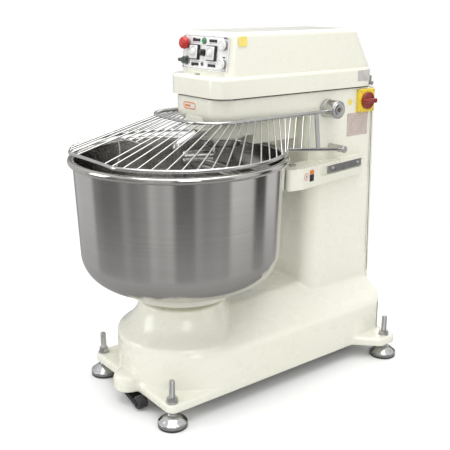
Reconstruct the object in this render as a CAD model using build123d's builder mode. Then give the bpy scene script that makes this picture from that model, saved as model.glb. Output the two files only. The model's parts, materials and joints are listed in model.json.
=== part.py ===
from build123d import *

import math
import os

# Spiral dough mixer: bowl on a low base, drive head on a column, wire guard that lifts.
# The frame has +Z up and -Y towards the operator. The origin is on the floor under the
# middle of the machine, and the bowl's axis stands at y = BOWL_Y. Lengths are in mm.

os.makedirs("parts", exist_ok=True)

# ---- overall places
BOWL_Y = -212.0  # bowl axis
SPIRAL_Y = BOWL_Y + 176.0  # spiral axis, between the bowl's centre and its rear wall
RUN_GAP = 0.05  # radial clearance of a shaft in its bearing
FREE_GAP = 0.5  # gap between pieces that move past each other

# ---- bowl
RIM_R = 350.0
RIM_TUBE_R = 11.0
RIM_Z = 815.0
BOWL_WALL_TOP_R = 345.0
BOWL_WALL_LOW_R = 335.0
BOWL_CORNER_R = 105.0
BOWL_BOTTOM_Z = 404.0
BOWL_SHEET = 5.0
FLANGE_R = 186.0
FLANGE_Z = 360.0
BOWL_SHAFT_R = 30.0

# ---- base
BASE_HALF = 248.0
BASE_BOTTOM = 52.0
LUG_TOP = 85.0
SHOULDER_Z = 206.0
NOSE_Y = BOWL_Y + 25.0
BASE_REAR = BOWL_Y + 768.0
BASE_FRONT = BOWL_Y - 221.0
RIDGE_Z = 303.0
RIDGE_HALF = 105.0
BOSS_R = 147.0
BOSS_TOP = 330.0
BOSS_FOOT_R = 226.0
BOSS_FOOT_Z = 222.0
GLAND = (96.0, 232.0)  # x and z of the cable gland on the rear face
STUD_R = 10.0
BASE_WALL = 8.0
FRONT_FOOT = (222.0, BOWL_Y - 196.0)
REAR_FOOT = (296.0, BOWL_Y + 722.0)

# ---- column and head
HEAD_HALF = 140.0
COLUMN_FOOT_HALF = 150.0
COLUMN_FRONT = BOWL_Y + 452.0
COLUMN_TOP_REAR = BOWL_Y + 755.0
COLUMN_FOOT_REAR = BOWL_Y + 768.0
COLUMN_FOOT_Z = 250.0
COLUMN_WALL = 9.0
HEAD_FRONT = BOWL_Y + 57.0
HEAD_BOTTOM = 922.0
HEAD_TOP = 1006.0
PANEL_DEPTH = 15.0

# ---- hood
HOOD_HALF = 150.0
HOOD_FRONT = BOWL_Y + 50.0
HOOD_REAR = BOWL_Y + 765.0
LIP_BOTTOM = 1008.0
LIP_TOP = 1074.0
HOOD_TOP = 1209.0
HOOD_SHEET = 5.0
HOOD_HINGE = (BOWL_Y + 778.0, 1012.0)
HOOD_HINGE_X = (-90.0, 90.0)
HINGE_BARREL_R = 7.0
HINGE_PIN_R = 4.0

# ---- control panel, on the hood's front face
PANEL_SIZE = (242.0, 111.0)
PANEL_Y = BOWL_Y + 104.0
PANEL_Z = 1142.0
PANEL_LEAN = 6.2  # degrees back from upright
PLATE = 3.0

# ---- guard
GUARD_PIVOT = (BOWL_Y + 523.0, 944.0)
RING_R = 350.0
RING_Z = 843.0
RING_CHORD_Y = 322.0
RING_CORNER_R = 60.0
RING_END_ANGLE = 48.0  # degrees behind the bowl's cross axis
GUARD_TUBE_R = 6.0
FRAME_HALF = 178.0
FRAME_NOSE_Y = BOWL_Y - 22.0
FRAME_CORNER_R = 100.0
FRAME_Z = 940.0
ROD_R = 2.5
ROD_STEPS = 19
RING_PITCH = 42.9
FRAME_PITCH = 25.2
STOP_POST = (BOWL_Y + 548.0, 806.0)

# ---- controls
TIMER_X = (-49.0, 42.0)
TIMER_SIZE = 48.0
TIMER_DEPTH = 12.0
JOG_PLACES = ((103.0, 27.0), (103.0, -31.0))
STOP_PLACE = (-95.0, 25.0)
LEVER_PLACE = (-95.0, -29.0)
START_PLACE = (-5.0, 37.0)
SPEED_PLACE = (-4.0, 0.0)
LAMP_PLACE = (-8.0, -36.0)
SWITCH_BORE_R = 11.0
SMALL_BORE_R = 8.0

# ---- switch and rear cover, with its screws as x and z
SWITCH = (HEAD_HALF, BOWL_Y + 715.0, 957.0)
PAN_SCREWS = [(x, z) for z in (300, 640, 965) for x in (-122, 122)]

# ---- guard details
HUB_IN = HEAD_HALF + 3.0
RING_CORNER_X = math.sqrt((RING_R - RING_CORNER_R) ** 2 - (RING_CHORD_Y - RING_CORNER_R) ** 2)
LOWER_ARM_END = (200.0, STOP_POST[0] - 13.5, STOP_POST[1] + 1)
FEED_STEPS = 1  # rods on each side of the middle that stop short and leave the feed opening
FEED_SHARE = 0.45  # how far up the front rods the feed opening reaches

# ---- bowl guides
WING_LOW = 692.0
WING_TOP = 764.0
ROLLER_PLACE = (164.0, BOWL_Y + 350.0)
ROLLER_R = math.hypot(ROLLER_PLACE[0], ROLLER_PLACE[1] - BOWL_Y) - BOWL_WALL_TOP_R + 1.5

# ---- drive
BOWL_PULLEY_R = 170.0
BOWL_BELT_Z = 150.0
MOTOR_Y = BOWL_Y + 610.0
BELT_DEPTH = 9.0
SMALL_PULLEY_R = 42.0
SPIRAL_SHAFT_R = 25.0
SPIRAL_PULLEY_R = 116.0
DRIVE_Z = 1012.0
SPIRAL_MOTOR_TOP = DRIVE_Z - 22.0

# ---- spiral, its spindle and the breaker bar
HOUSING_LOW = 862.0
HUB_TOP = HOUSING_LOW - 6.0
WEB_LOW = 838.0
ARM_Z = 800.0
HOOK_LOW_Z = 448.0
HOOK_R = 130.0
HOOK_LOW_R = 84.0
HOOK_BAR_R = 17.0
HOOK_TURNS = 1.25
HOOK_START = 150.0  # degrees of the hook's lower tip at rest, about the spiral axis
BREAKER_Y = BOWL_Y - 8.0
BREAKER_TOP_Y = BOWL_Y + 77.0

# ---- feet, casters and wheels
FEET = [(side * x, y) for x, y in (FRONT_FOOT, REAR_FOOT) for side in (-1, 1)]
PAD_TOP = 8.0
CASTER_AXIS = (4.0, BOWL_Y - 224.0)
CASTER_WHEEL = (74.0, BOWL_Y - 224.0, 27.0)
WHEEL_R = 22.0
REAR_WHEEL = (165.0, BOWL_Y + 640.0, 27.0)


def save(piece, label):
    """Name a finished piece and write its STEP file."""
    piece.part.label = label
    export_step(piece.part, f"parts/{label}.step")


def level(z):
    """Horizontal plane at a height."""
    return Plane.XY.offset(z)


def facing_x(x, y, z):
    """Plane at a point whose normal is +X and whose local X runs to the rear."""
    return Plane(origin=(x, y, z), x_dir=(0, 1, 0), z_dir=(1, 0, 0))


def on_panel(u, v, out=0.0):
    """Plane on the control panel's face, u to the right and v up it, facing the operator."""
    lean = math.radians(PANEL_LEAN)
    normal = Vector(0, -math.cos(lean), math.sin(lean))
    up = Vector(0, math.sin(lean), math.cos(lean))
    middle = Vector(0, PANEL_Y, PANEL_Z)
    place = middle + up * v + Vector(u, 0, 0) + normal * out
    return Plane(origin=place, x_dir=(1, 0, 0), z_dir=normal)


def rod_between(start, end, radius):
    """Round rod from one point to another, added to the part being built."""
    along = Vector(*end) - Vector(*start)
    with BuildSketch(Plane(origin=start, z_dir=along)) as section:
        Circle(radius)
    extrude(section.sketch, amount=along.length)


bowl_axis = Axis((0, BOWL_Y, 0), (0, 0, 1))
bowl_plane = Plane(origin=(0, BOWL_Y, 0), x_dir=(1, 0, 0), z_dir=(0, -1, 0))


# ======================================================================= base
def base_section(inset, rounding):
    """Cross-section of the base inside the active sketch: walls, sloping shoulders, flat ridge."""
    half = BASE_HALF - inset
    ridge = RIDGE_HALF - inset / 2
    low = SHOULDER_Z - inset
    top = RIDGE_Z - inset * 1.2
    left = [(-half, BASE_BOTTOM), (-half, low), (-ridge, top)]
    right = [(-x, z) for x, z in reversed(left)]
    section = Polygon(*left, *right, align=None)
    fillet(section.vertices().filter_by_position(Axis.Y, low - 1, top + 1), rounding)


def base_form(inset):
    """Sloping body of the base, its round nose in front, with every wall moved in by inset."""
    rear = BASE_REAR - inset
    rounding = 34 - inset
    with BuildPart() as form:
        with BuildSketch(Plane.XZ.offset(-NOSE_Y)):
            base_section(inset, rounding)
        extrude(amount=NOSE_Y - rear)
        with BuildSketch(Plane.XZ.offset(-NOSE_Y)):
            base_section(inset, rounding)
            with Locations((-BASE_HALF, RIDGE_Z / 2)):
                Rectangle(2 * BASE_HALF, 2 * RIDGE_Z, mode=Mode.SUBTRACT)
        revolve(axis=Axis((0, NOSE_Y, 0), (0, 0, 1)))
        with BuildSketch(level(BASE_BOTTOM)) as plan:
            with Locations((0, rear - 600)):
                Rectangle(2 * BASE_HALF, 1200)
            fillet(plan.vertices().group_by(Axis.Y)[-1], 48 - inset)
        extrude(amount=RIDGE_Z, mode=Mode.INTERSECT)
    return form.part


with BuildPart() as base_outer:
    add(base_form(0))

with BuildPart() as base_casting:
    add(base_outer.part)
    # flange that squares off the round nose and carries the front feet
    with BuildSketch(level(BASE_BOTTOM)) as flange_plan:
        with Locations((0, BASE_FRONT + 150)):
            Rectangle(2 * BASE_HALF, 300)
        fillet(flange_plan.vertices().group_by(Axis.Y)[0], 26)
    extrude(amount=LUG_TOP - BASE_BOTTOM)
    # rear lugs that flare outwards past the side walls
    for side in (-1, 1):
        with BuildSketch(level(BASE_BOTTOM)) as lug_plan:
            with BuildLine():
                Polyline(
                    (side * 200, BASE_REAR - 170),
                    (side * 248, BASE_REAR - 165),
                    (side * 326, BASE_REAR - 90),
                    (side * 326, BASE_REAR - 6),
                    (side * 200, BASE_REAR - 6),
                    close=True,
                )
            make_face()
            outer = lug_plan.vertices().sort_by(Axis.X, reverse=side < 0)[-2:]
            fillet(outer, 26)
        extrude(amount=LUG_TOP - BASE_BOTTOM)
    # rounded housing of the front caster
    with BuildSketch(level(BASE_BOTTOM)):
        with Locations((0, BOWL_Y - 224)):
            Circle(52)
    extrude(amount=60)
    # boss under the bowl, flaring out into the slopes
    with BuildSketch(bowl_plane):
        with BuildLine():
            Polyline(
                (BOSS_FOOT_R, BOSS_FOOT_Z),
                (BOSS_FOOT_R, 200),
                (0, 200),
                (0, BOSS_TOP),
                (BOSS_R, BOSS_TOP),
            )
            Bezier((BOSS_R, BOSS_TOP), (BOSS_R + 9, RIDGE_Z - 38), (BOSS_FOOT_R, BOSS_FOOT_Z))
        make_face()
    revolve(axis=bowl_axis)
    # hollow, open underneath
    add(base_form(BASE_WALL), mode=Mode.SUBTRACT)
    with BuildSketch(level(RIDGE_Z - 60)):
        with Locations((0, BOWL_Y)):
            Circle(BOSS_R - 14)
    extrude(amount=BOSS_TOP - RIDGE_Z + 60 - 12, mode=Mode.SUBTRACT)
    with BuildSketch(level(BASE_BOTTOM)):
        with Locations((0, BOWL_Y - 218)):
            Circle(40)
    extrude(amount=48, mode=Mode.SUBTRACT)
    # seat of the bowl bearing, foot holes, and the way up into the column
    with Locations((0, BOWL_Y, BOSS_TOP)):
        Hole(52)
    for place in (FRONT_FOOT, REAR_FOOT):
        with Locations((place[0], place[1], LUG_TOP), (-place[0], place[1], LUG_TOP)):
            Hole(STUD_R, depth=LUG_TOP - BASE_BOTTOM)
    with BuildSketch(level(RIDGE_Z - 30)):
        with Locations((0, COLUMN_FRONT + 165)):
            Rectangle(180, 240)
    extrude(amount=60, mode=Mode.SUBTRACT)
    with BuildSketch(Plane(origin=(GLAND[0], BASE_REAR, GLAND[1]), x_dir=(1, 0, 0), z_dir=(0, 1, 0))):
        Circle(12)
    extrude(amount=-30, mode=Mode.SUBTRACT)
    round_edges = base_casting.edges().filter_by(GeomType.CIRCLE)
    housing_top = round_edges.filter_by_position(Axis.Z, LUG_TOP + 20, BASE_BOTTOM + 61)
    fillet([edge for edge in housing_top if abs(edge.radius - 52) < 0.1], 24)
save(base_casting, "base_casting")

# ======================================================================= column and head
with BuildPart() as column_casting:
    # tapered column
    with BuildSketch(level(COLUMN_FOOT_Z)) as foot_plan:
        length = COLUMN_FOOT_REAR - COLUMN_FRONT
        with Locations((0, COLUMN_FRONT + length / 2)):
            Rectangle(2 * COLUMN_FOOT_HALF, length)
        fillet(foot_plan.vertices().group_by(Axis.Y)[0], 55)
    with BuildSketch(level(HEAD_TOP)) as neck_plan:
        length = COLUMN_TOP_REAR - COLUMN_FRONT
        with Locations((0, COLUMN_FRONT + length / 2)):
            Rectangle(2 * HEAD_HALF, length)
        fillet(neck_plan.vertices().group_by(Axis.Y)[0], 55)
    loft()
    add(base_outer.part, mode=Mode.SUBTRACT)
    # head reaching over the bowl
    with BuildSketch(level(HEAD_BOTTOM)) as head_plan:
        length = COLUMN_TOP_REAR - 60 - HEAD_FRONT
        with Locations((0, HEAD_FRONT + length / 2)):
            Rectangle(2 * HEAD_HALF, length)
        fillet(head_plan.vertices().group_by(Axis.Y)[0], 72)
    extrude(amount=HEAD_TOP - HEAD_BOTTOM)
    under = column_casting.edges().filter_by_position(Axis.Z, HEAD_BOTTOM - 1, HEAD_BOTTOM + 1)
    fillet([edge for edge in under if edge.center().Y < COLUMN_FRONT - 5], 30)
    # pocket of the head, open at the top
    with BuildSketch(level(HEAD_BOTTOM + 12)) as pocket_plan:
        length = COLUMN_TOP_REAR - HEAD_FRONT
        with Locations((0, HEAD_FRONT + COLUMN_WALL + length / 2)):
            Rectangle(2 * (HEAD_HALF - COLUMN_WALL), length)
        fillet(pocket_plan.vertices().group_by(Axis.Y)[0], 63)
    extrude(amount=HEAD_TOP, mode=Mode.SUBTRACT)
    # pocket of the column, open at the rear
    with BuildSketch(level(RIDGE_Z)) as well_plan:
        with Locations((0, COLUMN_FRONT + 14 + 250)):
            Rectangle(2 * (HEAD_HALF - COLUMN_WALL), 500)
        fillet(well_plan.vertices().group_by(Axis.Y)[0], 48)
    extrude(amount=HEAD_TOP - RIDGE_Z, mode=Mode.SUBTRACT)
    # spindle hole in the head's floor, and pin holes of the guard and the stop posts
    with Locations((0, SPIRAL_Y, HEAD_BOTTOM + 12)):
        Hole(50, depth=14)
    for side in (-1, 1):
        with BuildSketch(facing_x(side * (HEAD_HALF - 20), GUARD_PIVOT[0], GUARD_PIVOT[1])):
            Circle(12)
        extrude(amount=side * 40, mode=Mode.SUBTRACT)
save(column_casting, "column_casting")

# rear cover: a shallow pan that follows the column's lean
with BuildPart() as rear_panel:
    with BuildSketch(level(262)) as low_pan:
        with Locations((0, COLUMN_FOOT_REAR + PANEL_DEPTH / 2 - 0.2)):
            RectangleRounded(2 * COLUMN_FOOT_HALF - 2, PANEL_DEPTH, 4)
    with BuildSketch(level(HEAD_TOP - 3)) as high_pan:
        with Locations((0, COLUMN_TOP_REAR + PANEL_DEPTH / 2 + 0.2)):
            RectangleRounded(2 * HEAD_HALF - 1, PANEL_DEPTH, 4)
    loft()
    add(column_casting.part, mode=Mode.SUBTRACT)
    add(base_outer.part, mode=Mode.SUBTRACT)
    # hollow behind the cover's face, then cooling louvres
    with BuildSketch(level(300)):
        with Locations((0, COLUMN_FOOT_REAR + 2)):
            Rectangle(2 * HEAD_HALF - 30, PANEL_DEPTH)
    with BuildSketch(level(HEAD_TOP - 20)):
        with Locations((0, COLUMN_TOP_REAR + 2)):
            Rectangle(2 * HEAD_HALF - 30, PANEL_DEPTH)
    loft(mode=Mode.SUBTRACT)
    with BuildSketch(Plane(origin=(0, COLUMN_TOP_REAR - 20, 560), x_dir=(1, 0, 0), z_dir=(0, 1, 0))):
        with GridLocations(150, 22, 1, 9):
            SlotOverall(150, 7)
    extrude(amount=80, mode=Mode.SUBTRACT)
    # screw heads along both edges
    lean = (COLUMN_FOOT_REAR - COLUMN_TOP_REAR) / (HEAD_TOP - 265)
    for x, z in PAN_SCREWS:
        surface = COLUMN_TOP_REAR + PANEL_DEPTH + lean * (HEAD_TOP - z) + 0.1
        with BuildSketch(Plane(origin=(x, surface - 2.0, z), x_dir=(1, 0, 0), z_dir=(0, 1, 0))):
            Circle(6)
        extrude(amount=5)
save(rear_panel, "rear_panel")

# ======================================================================= hood
def hood_section(z, half, front, rear, corner, inset=0.0):
    """Rounded plan of the hood at one height, as a sketch of its own."""
    with BuildSketch(level(z)) as section:
        length = rear - front - 2 * inset
        with Locations((0, front + inset + length / 2)):
            RectangleRounded(2 * (half - inset), length, corner - inset)
    return section.sketch


def hood_form(inset):
    """Lip band and sloping upper body of the hood, with every wall moved in by inset."""
    lean = math.tan(math.radians(PANEL_LEAN))
    face = PANEL_Y + PLATE / math.cos(math.radians(PANEL_LEAN))
    low = face + (LIP_TOP - 4 - PANEL_Z) * lean
    high = face + (HOOD_TOP - PANEL_Z) * lean
    with BuildPart() as form:
        add(hood_section(LIP_BOTTOM, HOOD_HALF, HOOD_FRONT, HOOD_REAR, 62, inset))
        extrude(amount=LIP_TOP - inset - LIP_BOTTOM)
        if not inset:
            fillet(form.faces().sort_by(Axis.Z)[-1].edges(), 12)
        add(hood_section(LIP_TOP - 4 - inset, 141, low, HOOD_REAR - 12, 34, inset))
        add(hood_section(HOOD_TOP - inset, 135, high, BOWL_Y + 676, 30, inset))
        loft()
        if not inset:
            fillet(form.faces().sort_by(Axis.Z)[-1].edges(), 16)
    return form.part


def control_holes():
    """Holes of the controls in the active sketch."""
    with Locations(STOP_PLACE, LEVER_PLACE, *JOG_PLACES):
        Circle(SWITCH_BORE_R)
    with Locations(START_PLACE, SPEED_PLACE):
        Circle(SMALL_BORE_R)
    with Locations(*((u, 0) for u in TIMER_X)):
        Rectangle(TIMER_SIZE - 4, TIMER_SIZE - 4)


with BuildPart() as hood_shell:
    add(hood_form(0))
    add(hood_form(HOOD_SHEET), mode=Mode.SUBTRACT)
    with BuildSketch(level(LIP_BOTTOM)):
        with Locations((0, (HOOD_FRONT + HOOD_REAR) / 2)):
            RectangleRounded(
                2 * (HOOD_HALF - HOOD_SHEET), HOOD_REAR - HOOD_FRONT - 2 * HOOD_SHEET, 62 - HOOD_SHEET
            )
    extrude(amount=1, mode=Mode.SUBTRACT)
    # holes of the controls, through the front face
    with BuildSketch(on_panel(0, 0, -20)):
        control_holes()
    extrude(amount=30, mode=Mode.SUBTRACT)
    # hole of the lock screw in the ledge
    with BuildSketch(level(LIP_TOP - 20)):
        with Locations((0, HOOD_FRONT + 24)):
            Circle(5.05)
    extrude(amount=30, mode=Mode.SUBTRACT)
save(hood_shell, "hood_shell")

with BuildPart() as hood_hinge_leaves:
    for x in HOOD_HINGE_X:
        for offset in (-22, 22):
            with BuildSketch(facing_x(x + offset - 8, *HOOD_HINGE)):
                Circle(HINGE_BARREL_R)
                with Locations((-9.5, 14)):
                    Rectangle(9, 28)
                Circle(HINGE_PIN_R + RUN_GAP, mode=Mode.SUBTRACT)
            extrude(amount=16)
    add(hood_shell.part, mode=Mode.SUBTRACT)
save(hood_hinge_leaves, "hood_hinge_leaves")

with BuildPart() as hood_hinge_brackets:
    for x in HOOD_HINGE_X:
        with BuildSketch(facing_x(x - 12, *HOOD_HINGE)):
            Circle(HINGE_BARREL_R)
            with Locations((-5.5, -20)):
                Rectangle(8, 40)
        extrude(amount=24)
        with BuildSketch(facing_x(x - 31, *HOOD_HINGE)):
            Circle(HINGE_PIN_R)
        extrude(amount=62)
    add(rear_panel.part, mode=Mode.SUBTRACT)
save(hood_hinge_brackets, "hood_hinge_brackets")

with BuildPart() as hood_lock_screw:
    with BuildSketch(level(LIP_TOP)):
        with Locations((0, HOOD_FRONT + 24)):
            Circle(9)
    extrude(amount=4)
    with BuildSketch(level(LIP_TOP - 16)):
        with Locations((0, HOOD_FRONT + 24)):
            Circle(5)
    extrude(amount=16)
    with BuildSketch(level(LIP_TOP + 2)):
        with Locations((0, HOOD_FRONT + 24)):
            Rectangle(20, 2.4)
    extrude(amount=4, mode=Mode.SUBTRACT)
save(hood_lock_screw, "hood_lock_screw")

# ======================================================================= control panel
with BuildPart() as control_plate:
    with BuildSketch(on_panel(0, 0, -PLATE)):
        RectangleRounded(*PANEL_SIZE, 6)
    extrude(amount=PLATE)
    with BuildSketch(on_panel(0, 0, -20)):
        control_holes()
    extrude(amount=30, mode=Mode.SUBTRACT)
save(control_plate, "control_plate")

with BuildPart() as panel_screws:
    for u in (-115, 115):
        for v in (-49, 49):
            with BuildSketch(on_panel(u, v)):
                Circle(3.5)
            extrude(amount=2)
save(panel_screws, "panel_screws")

with BuildPart() as pilot_lamp:
    with BuildSketch(on_panel(*LAMP_PLACE)):
        Circle(6)
    extrude(amount=5)
save(pilot_lamp, "pilot_lamp")

with BuildPart() as timer_cases:
    for u in TIMER_X:
        with BuildSketch(on_panel(u, 0, -55)):
            Rectangle(TIMER_SIZE - 4, TIMER_SIZE - 4)
        extrude(amount=55)
        with BuildSketch(on_panel(u, 0)):
            RectangleRounded(TIMER_SIZE, TIMER_SIZE, 3)
        extrude(amount=TIMER_DEPTH)
        with BuildSketch(on_panel(u, 0, 2)):
            Circle(3 + RUN_GAP)
        extrude(amount=TIMER_DEPTH, mode=Mode.SUBTRACT)
save(timer_cases, "timer_cases")

for side, u in zip(("left", "right"), TIMER_X):
    with BuildPart() as timer_knob:
        with BuildSketch(on_panel(u, 0, TIMER_DEPTH + FREE_GAP)):
            Circle(12)
            with Locations((0, 9)):
                Rectangle(4, 10)
        extrude(amount=6)
        with BuildSketch(on_panel(u, 0, 4)):
            Circle(3)
        extrude(amount=TIMER_DEPTH)
    save(timer_knob, f"timer_knob_{side}")

with BuildPart() as speed_knob:
    with BuildSketch(on_panel(*SPEED_PLACE, FREE_GAP)):
        Circle(11)
    extrude(amount=8)
    with BuildSketch(on_panel(*SPEED_PLACE, 8)):
        Rectangle(7, 21)
    extrude(amount=9)
    with BuildSketch(on_panel(*SPEED_PLACE, -30)):
        Circle(SMALL_BORE_R - RUN_GAP)
    extrude(amount=31)
save(speed_knob, "speed_knob")

with BuildPart() as button_collars:
    for place in (STOP_PLACE, LEVER_PLACE, *JOG_PLACES):
        with BuildSketch(on_panel(*place)):
            Circle(15)
            Circle(SWITCH_BORE_R, mode=Mode.SUBTRACT)
        extrude(amount=4)
    with BuildSketch(on_panel(*START_PLACE)):
        Circle(11)
        Circle(SMALL_BORE_R, mode=Mode.SUBTRACT)
    extrude(amount=3)
save(button_collars, "button_collars")

with BuildPart() as emergency_stop:
    with BuildSketch(on_panel(*STOP_PLACE, -25)):
        Circle(SWITCH_BORE_R - RUN_GAP)
    extrude(amount=36)
    with BuildSketch(on_panel(*STOP_PLACE, 10)):
        Circle(20)
    extrude(amount=20)
    fillet(emergency_stop.faces().sort_by(Axis.Y)[0].edges(), 8)
save(emergency_stop, "emergency_stop")

with BuildPart() as start_button:
    with BuildSketch(on_panel(*START_PLACE, -20)):
        Circle(SMALL_BORE_R - RUN_GAP)
    extrude(amount=27)
save(start_button, "start_button")

for name, place in zip(("upper", "lower"), JOG_PLACES):
    with BuildPart() as jog_button:
        with BuildSketch(on_panel(*place, -25)):
            Circle(SWITCH_BORE_R - RUN_GAP)
        extrude(amount=33)
        with BuildSketch(on_panel(*place, 8)):
            Circle(16)
        extrude(amount=7)
        fillet(jog_button.faces().sort_by(Axis.Y)[0].edges(), 2.5)
    save(jog_button, f"jog_button_{name}")

with BuildPart() as direction_lever:
    with BuildSketch(on_panel(*LEVER_PLACE, -25)):
        Circle(SWITCH_BORE_R - RUN_GAP)
    extrude(amount=33)
    with BuildSketch(on_panel(*LEVER_PLACE, 7)):
        Circle(12)
        with Locations((-12, 0)):
            SlotOverall(40, 12)
    extrude(amount=13)
save(direction_lever, "direction_lever")

# main switch on the side of the head
with BuildPart() as main_switch_plate:
    with BuildSketch(facing_x(*SWITCH)):
        RectangleRounded(80, 82, 4)
        Circle(8 + RUN_GAP, mode=Mode.SUBTRACT)
    extrude(amount=16)
    add(column_casting.part, mode=Mode.SUBTRACT)
save(main_switch_plate, "main_switch_plate")

with BuildPart() as main_switch_knob:
    with BuildSketch(facing_x(SWITCH[0] + 16 + FREE_GAP, SWITCH[1], SWITCH[2])):
        Circle(31)
    extrude(amount=9)
    with BuildSketch(facing_x(SWITCH[0] + 20, SWITCH[1], SWITCH[2])):
        RectangleRounded(60, 18, 8)
    extrude(amount=22)
    with BuildSketch(facing_x(SWITCH[0] + 3, SWITCH[1], SWITCH[2])):
        Circle(8)
    extrude(amount=16)
save(main_switch_knob, "main_switch_knob")

with BuildPart() as rating_plates:
    with BuildSketch(facing_x(HEAD_HALF, BOWL_Y + 684, 873)):
        RectangleRounded(106, 82, 3)
    extrude(amount=3.2)
    add(column_casting.part, mode=Mode.SUBTRACT)
save(rating_plates, "rating_plates")

# ======================================================================= guard
def ring_point(arclength):
    """Point of the lower ring's centreline, measured along it from the middle of the front."""
    chord_half = RING_CORNER_X
    corner_angle = math.acos((RING_CHORD_Y - RING_CORNER_R) / (RING_R - RING_CORNER_R))
    corner_length = RING_CORNER_R * corner_angle
    side = math.copysign(1, arclength)
    s = abs(arclength)
    if s <= chord_half:
        x, y = s, -RING_CHORD_Y
    elif s <= chord_half + corner_length:
        turn = (s - chord_half) / RING_CORNER_R
        x = chord_half + RING_CORNER_R * math.sin(turn)
        y = -(RING_CHORD_Y - RING_CORNER_R) - RING_CORNER_R * math.cos(turn)
    else:
        turn = corner_angle + (s - chord_half - corner_length) / RING_R
        x, y = RING_R * math.sin(turn), -RING_R * math.cos(turn)
    return side * x, BOWL_Y + y


def frame_point(arclength):
    """Point of the upper frame's centreline, measured along it from the middle of the nose."""
    straight = FRAME_HALF - FRAME_CORNER_R
    corner_length = FRAME_CORNER_R * math.pi / 2
    side = math.copysign(1, arclength)
    s = abs(arclength)
    if s <= straight:
        x, y = s, 0.0
    elif s <= straight + corner_length:
        turn = (s - straight) / FRAME_CORNER_R
        x = straight + FRAME_CORNER_R * math.sin(turn)
        y = FRAME_CORNER_R * (1 - math.cos(turn))
    else:
        x, y = FRAME_HALF, s - straight - corner_length + FRAME_CORNER_R
    return side * x, FRAME_NOSE_Y + y


def rod_ends(step):
    """Lower and upper end of one guard rod, counted from the middle."""
    x, y = ring_point(step * RING_PITCH)
    u, v = frame_point(step * FRAME_PITCH)
    return Vector(x, y, RING_Z + 4.5), Vector(u, v, FRAME_Z - 2)


ring_end = (
    RING_R * math.cos(math.radians(RING_END_ANGLE)),
    BOWL_Y + RING_R * math.sin(math.radians(RING_END_ANGLE)),
)
corner_end = (
    RING_CORNER_X * RING_R / (RING_R - RING_CORNER_R),
    BOWL_Y - (RING_CHORD_Y - RING_CORNER_R) * RING_R / (RING_R - RING_CORNER_R),
)

with BuildPart() as guard_ring:
    with BuildLine(level(RING_Z)) as ring_path:
        RadiusArc((-ring_end[0], ring_end[1]), (-corner_end[0], corner_end[1]), -RING_R)
        RadiusArc((-corner_end[0], corner_end[1]), (-RING_CORNER_X, BOWL_Y - RING_CHORD_Y), -RING_CORNER_R)
        Line((-RING_CORNER_X, BOWL_Y - RING_CHORD_Y), (RING_CORNER_X, BOWL_Y - RING_CHORD_Y))
        RadiusArc((RING_CORNER_X, BOWL_Y - RING_CHORD_Y), corner_end, -RING_CORNER_R)
        RadiusArc(corner_end, ring_end, -RING_R)
    with BuildSketch(Plane(origin=ring_path.line @ 0, z_dir=ring_path.line % 0)):
        Circle(GUARD_TUBE_R)
    sweep()
save(guard_ring, "guard_ring")

with BuildPart() as guard_frame:
    rear = GUARD_PIVOT[0] - 24
    with BuildLine(level(FRAME_Z)) as frame_path:
        FilletPolyline(
            (-FRAME_HALF, rear),
            (-FRAME_HALF, FRAME_NOSE_Y),
            (FRAME_HALF, FRAME_NOSE_Y),
            (FRAME_HALF, rear),
            radius=FRAME_CORNER_R,
        )
    with BuildSketch(Plane(origin=frame_path.line @ 0, z_dir=frame_path.line % 0)):
        Circle(GUARD_TUBE_R)
    sweep()
save(guard_frame, "guard_frame")

with BuildPart() as guard_lower_arms:
    for side in (-1, 1):
        rod_between(
            (side * (ring_end[0] - 2), ring_end[1] - 4, RING_Z - 0.5),
            (side * LOWER_ARM_END[0], LOWER_ARM_END[1], LOWER_ARM_END[2]),
            GUARD_TUBE_R,
        )
save(guard_lower_arms, "guard_lower_arms")


def lower_arm_point(y):
    """Point of the right lower arm's centreline at a given y."""
    share = (y - ring_end[1]) / (LOWER_ARM_END[1] - ring_end[1])
    x = ring_end[0] + share * (LOWER_ARM_END[0] - ring_end[0])
    return x, y, RING_Z + share * (LOWER_ARM_END[2] - RING_Z)


with BuildPart() as guard_rods:
    for step in range(-ROD_STEPS, ROD_STEPS + 1):
        low, high = rod_ends(step)
        if abs(step) <= FEED_STEPS:
            low = low + (high - low) * FEED_SHARE
        rod_between(low, high, ROD_R)
    for side in (-1, 1):
        for y, reach in ((290, 58), (330, 50), (370, 42)):
            x, low_y, z = lower_arm_point(BOWL_Y + y)
            rod_between((side * x, low_y, z + 3), (side * FRAME_HALF, low_y + reach, FRAME_Z - 2), ROD_R)
    # cross bar over the feed opening
    edge_low, edge_high = rod_ends(FEED_STEPS + 1)
    corner = edge_low + (edge_high - edge_low) * FEED_SHARE
    rod_between((-corner.X - 1, corner.Y, corner.Z), (corner.X + 1, corner.Y, corner.Z), 3)
    # brace bowed under the front rods, from the feed opening's corner to the ring
    end_x, end_y = ring_point(3.4 * RING_PITCH)
    with BuildLine():
        brace = ThreePointArc(
            (-corner.X, corner.Y - 2, corner.Z - 4),
            (42, BOWL_Y - 246, corner.Z - 24),
            (end_x, end_y, RING_Z + 5),
        )
    with BuildSketch(Plane(origin=brace @ 0, z_dir=brace % 0)):
        Circle(2)
    sweep(path=brace)
    # flat bars that tie the lower arms to the frame
    for side in (-1, 1):
        x, y, z = lower_arm_point(BOWL_Y + 418)
        low = Vector(side * x, y, z)
        along = Vector(side * FRAME_HALF, y + 22, FRAME_Z) - low
        with BuildSketch(Plane(origin=low, x_dir=(0, 1, 0), z_dir=along)):
            Rectangle(16, 5)
        extrude(amount=along.length)
save(guard_rods, "guard_rods")

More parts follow.
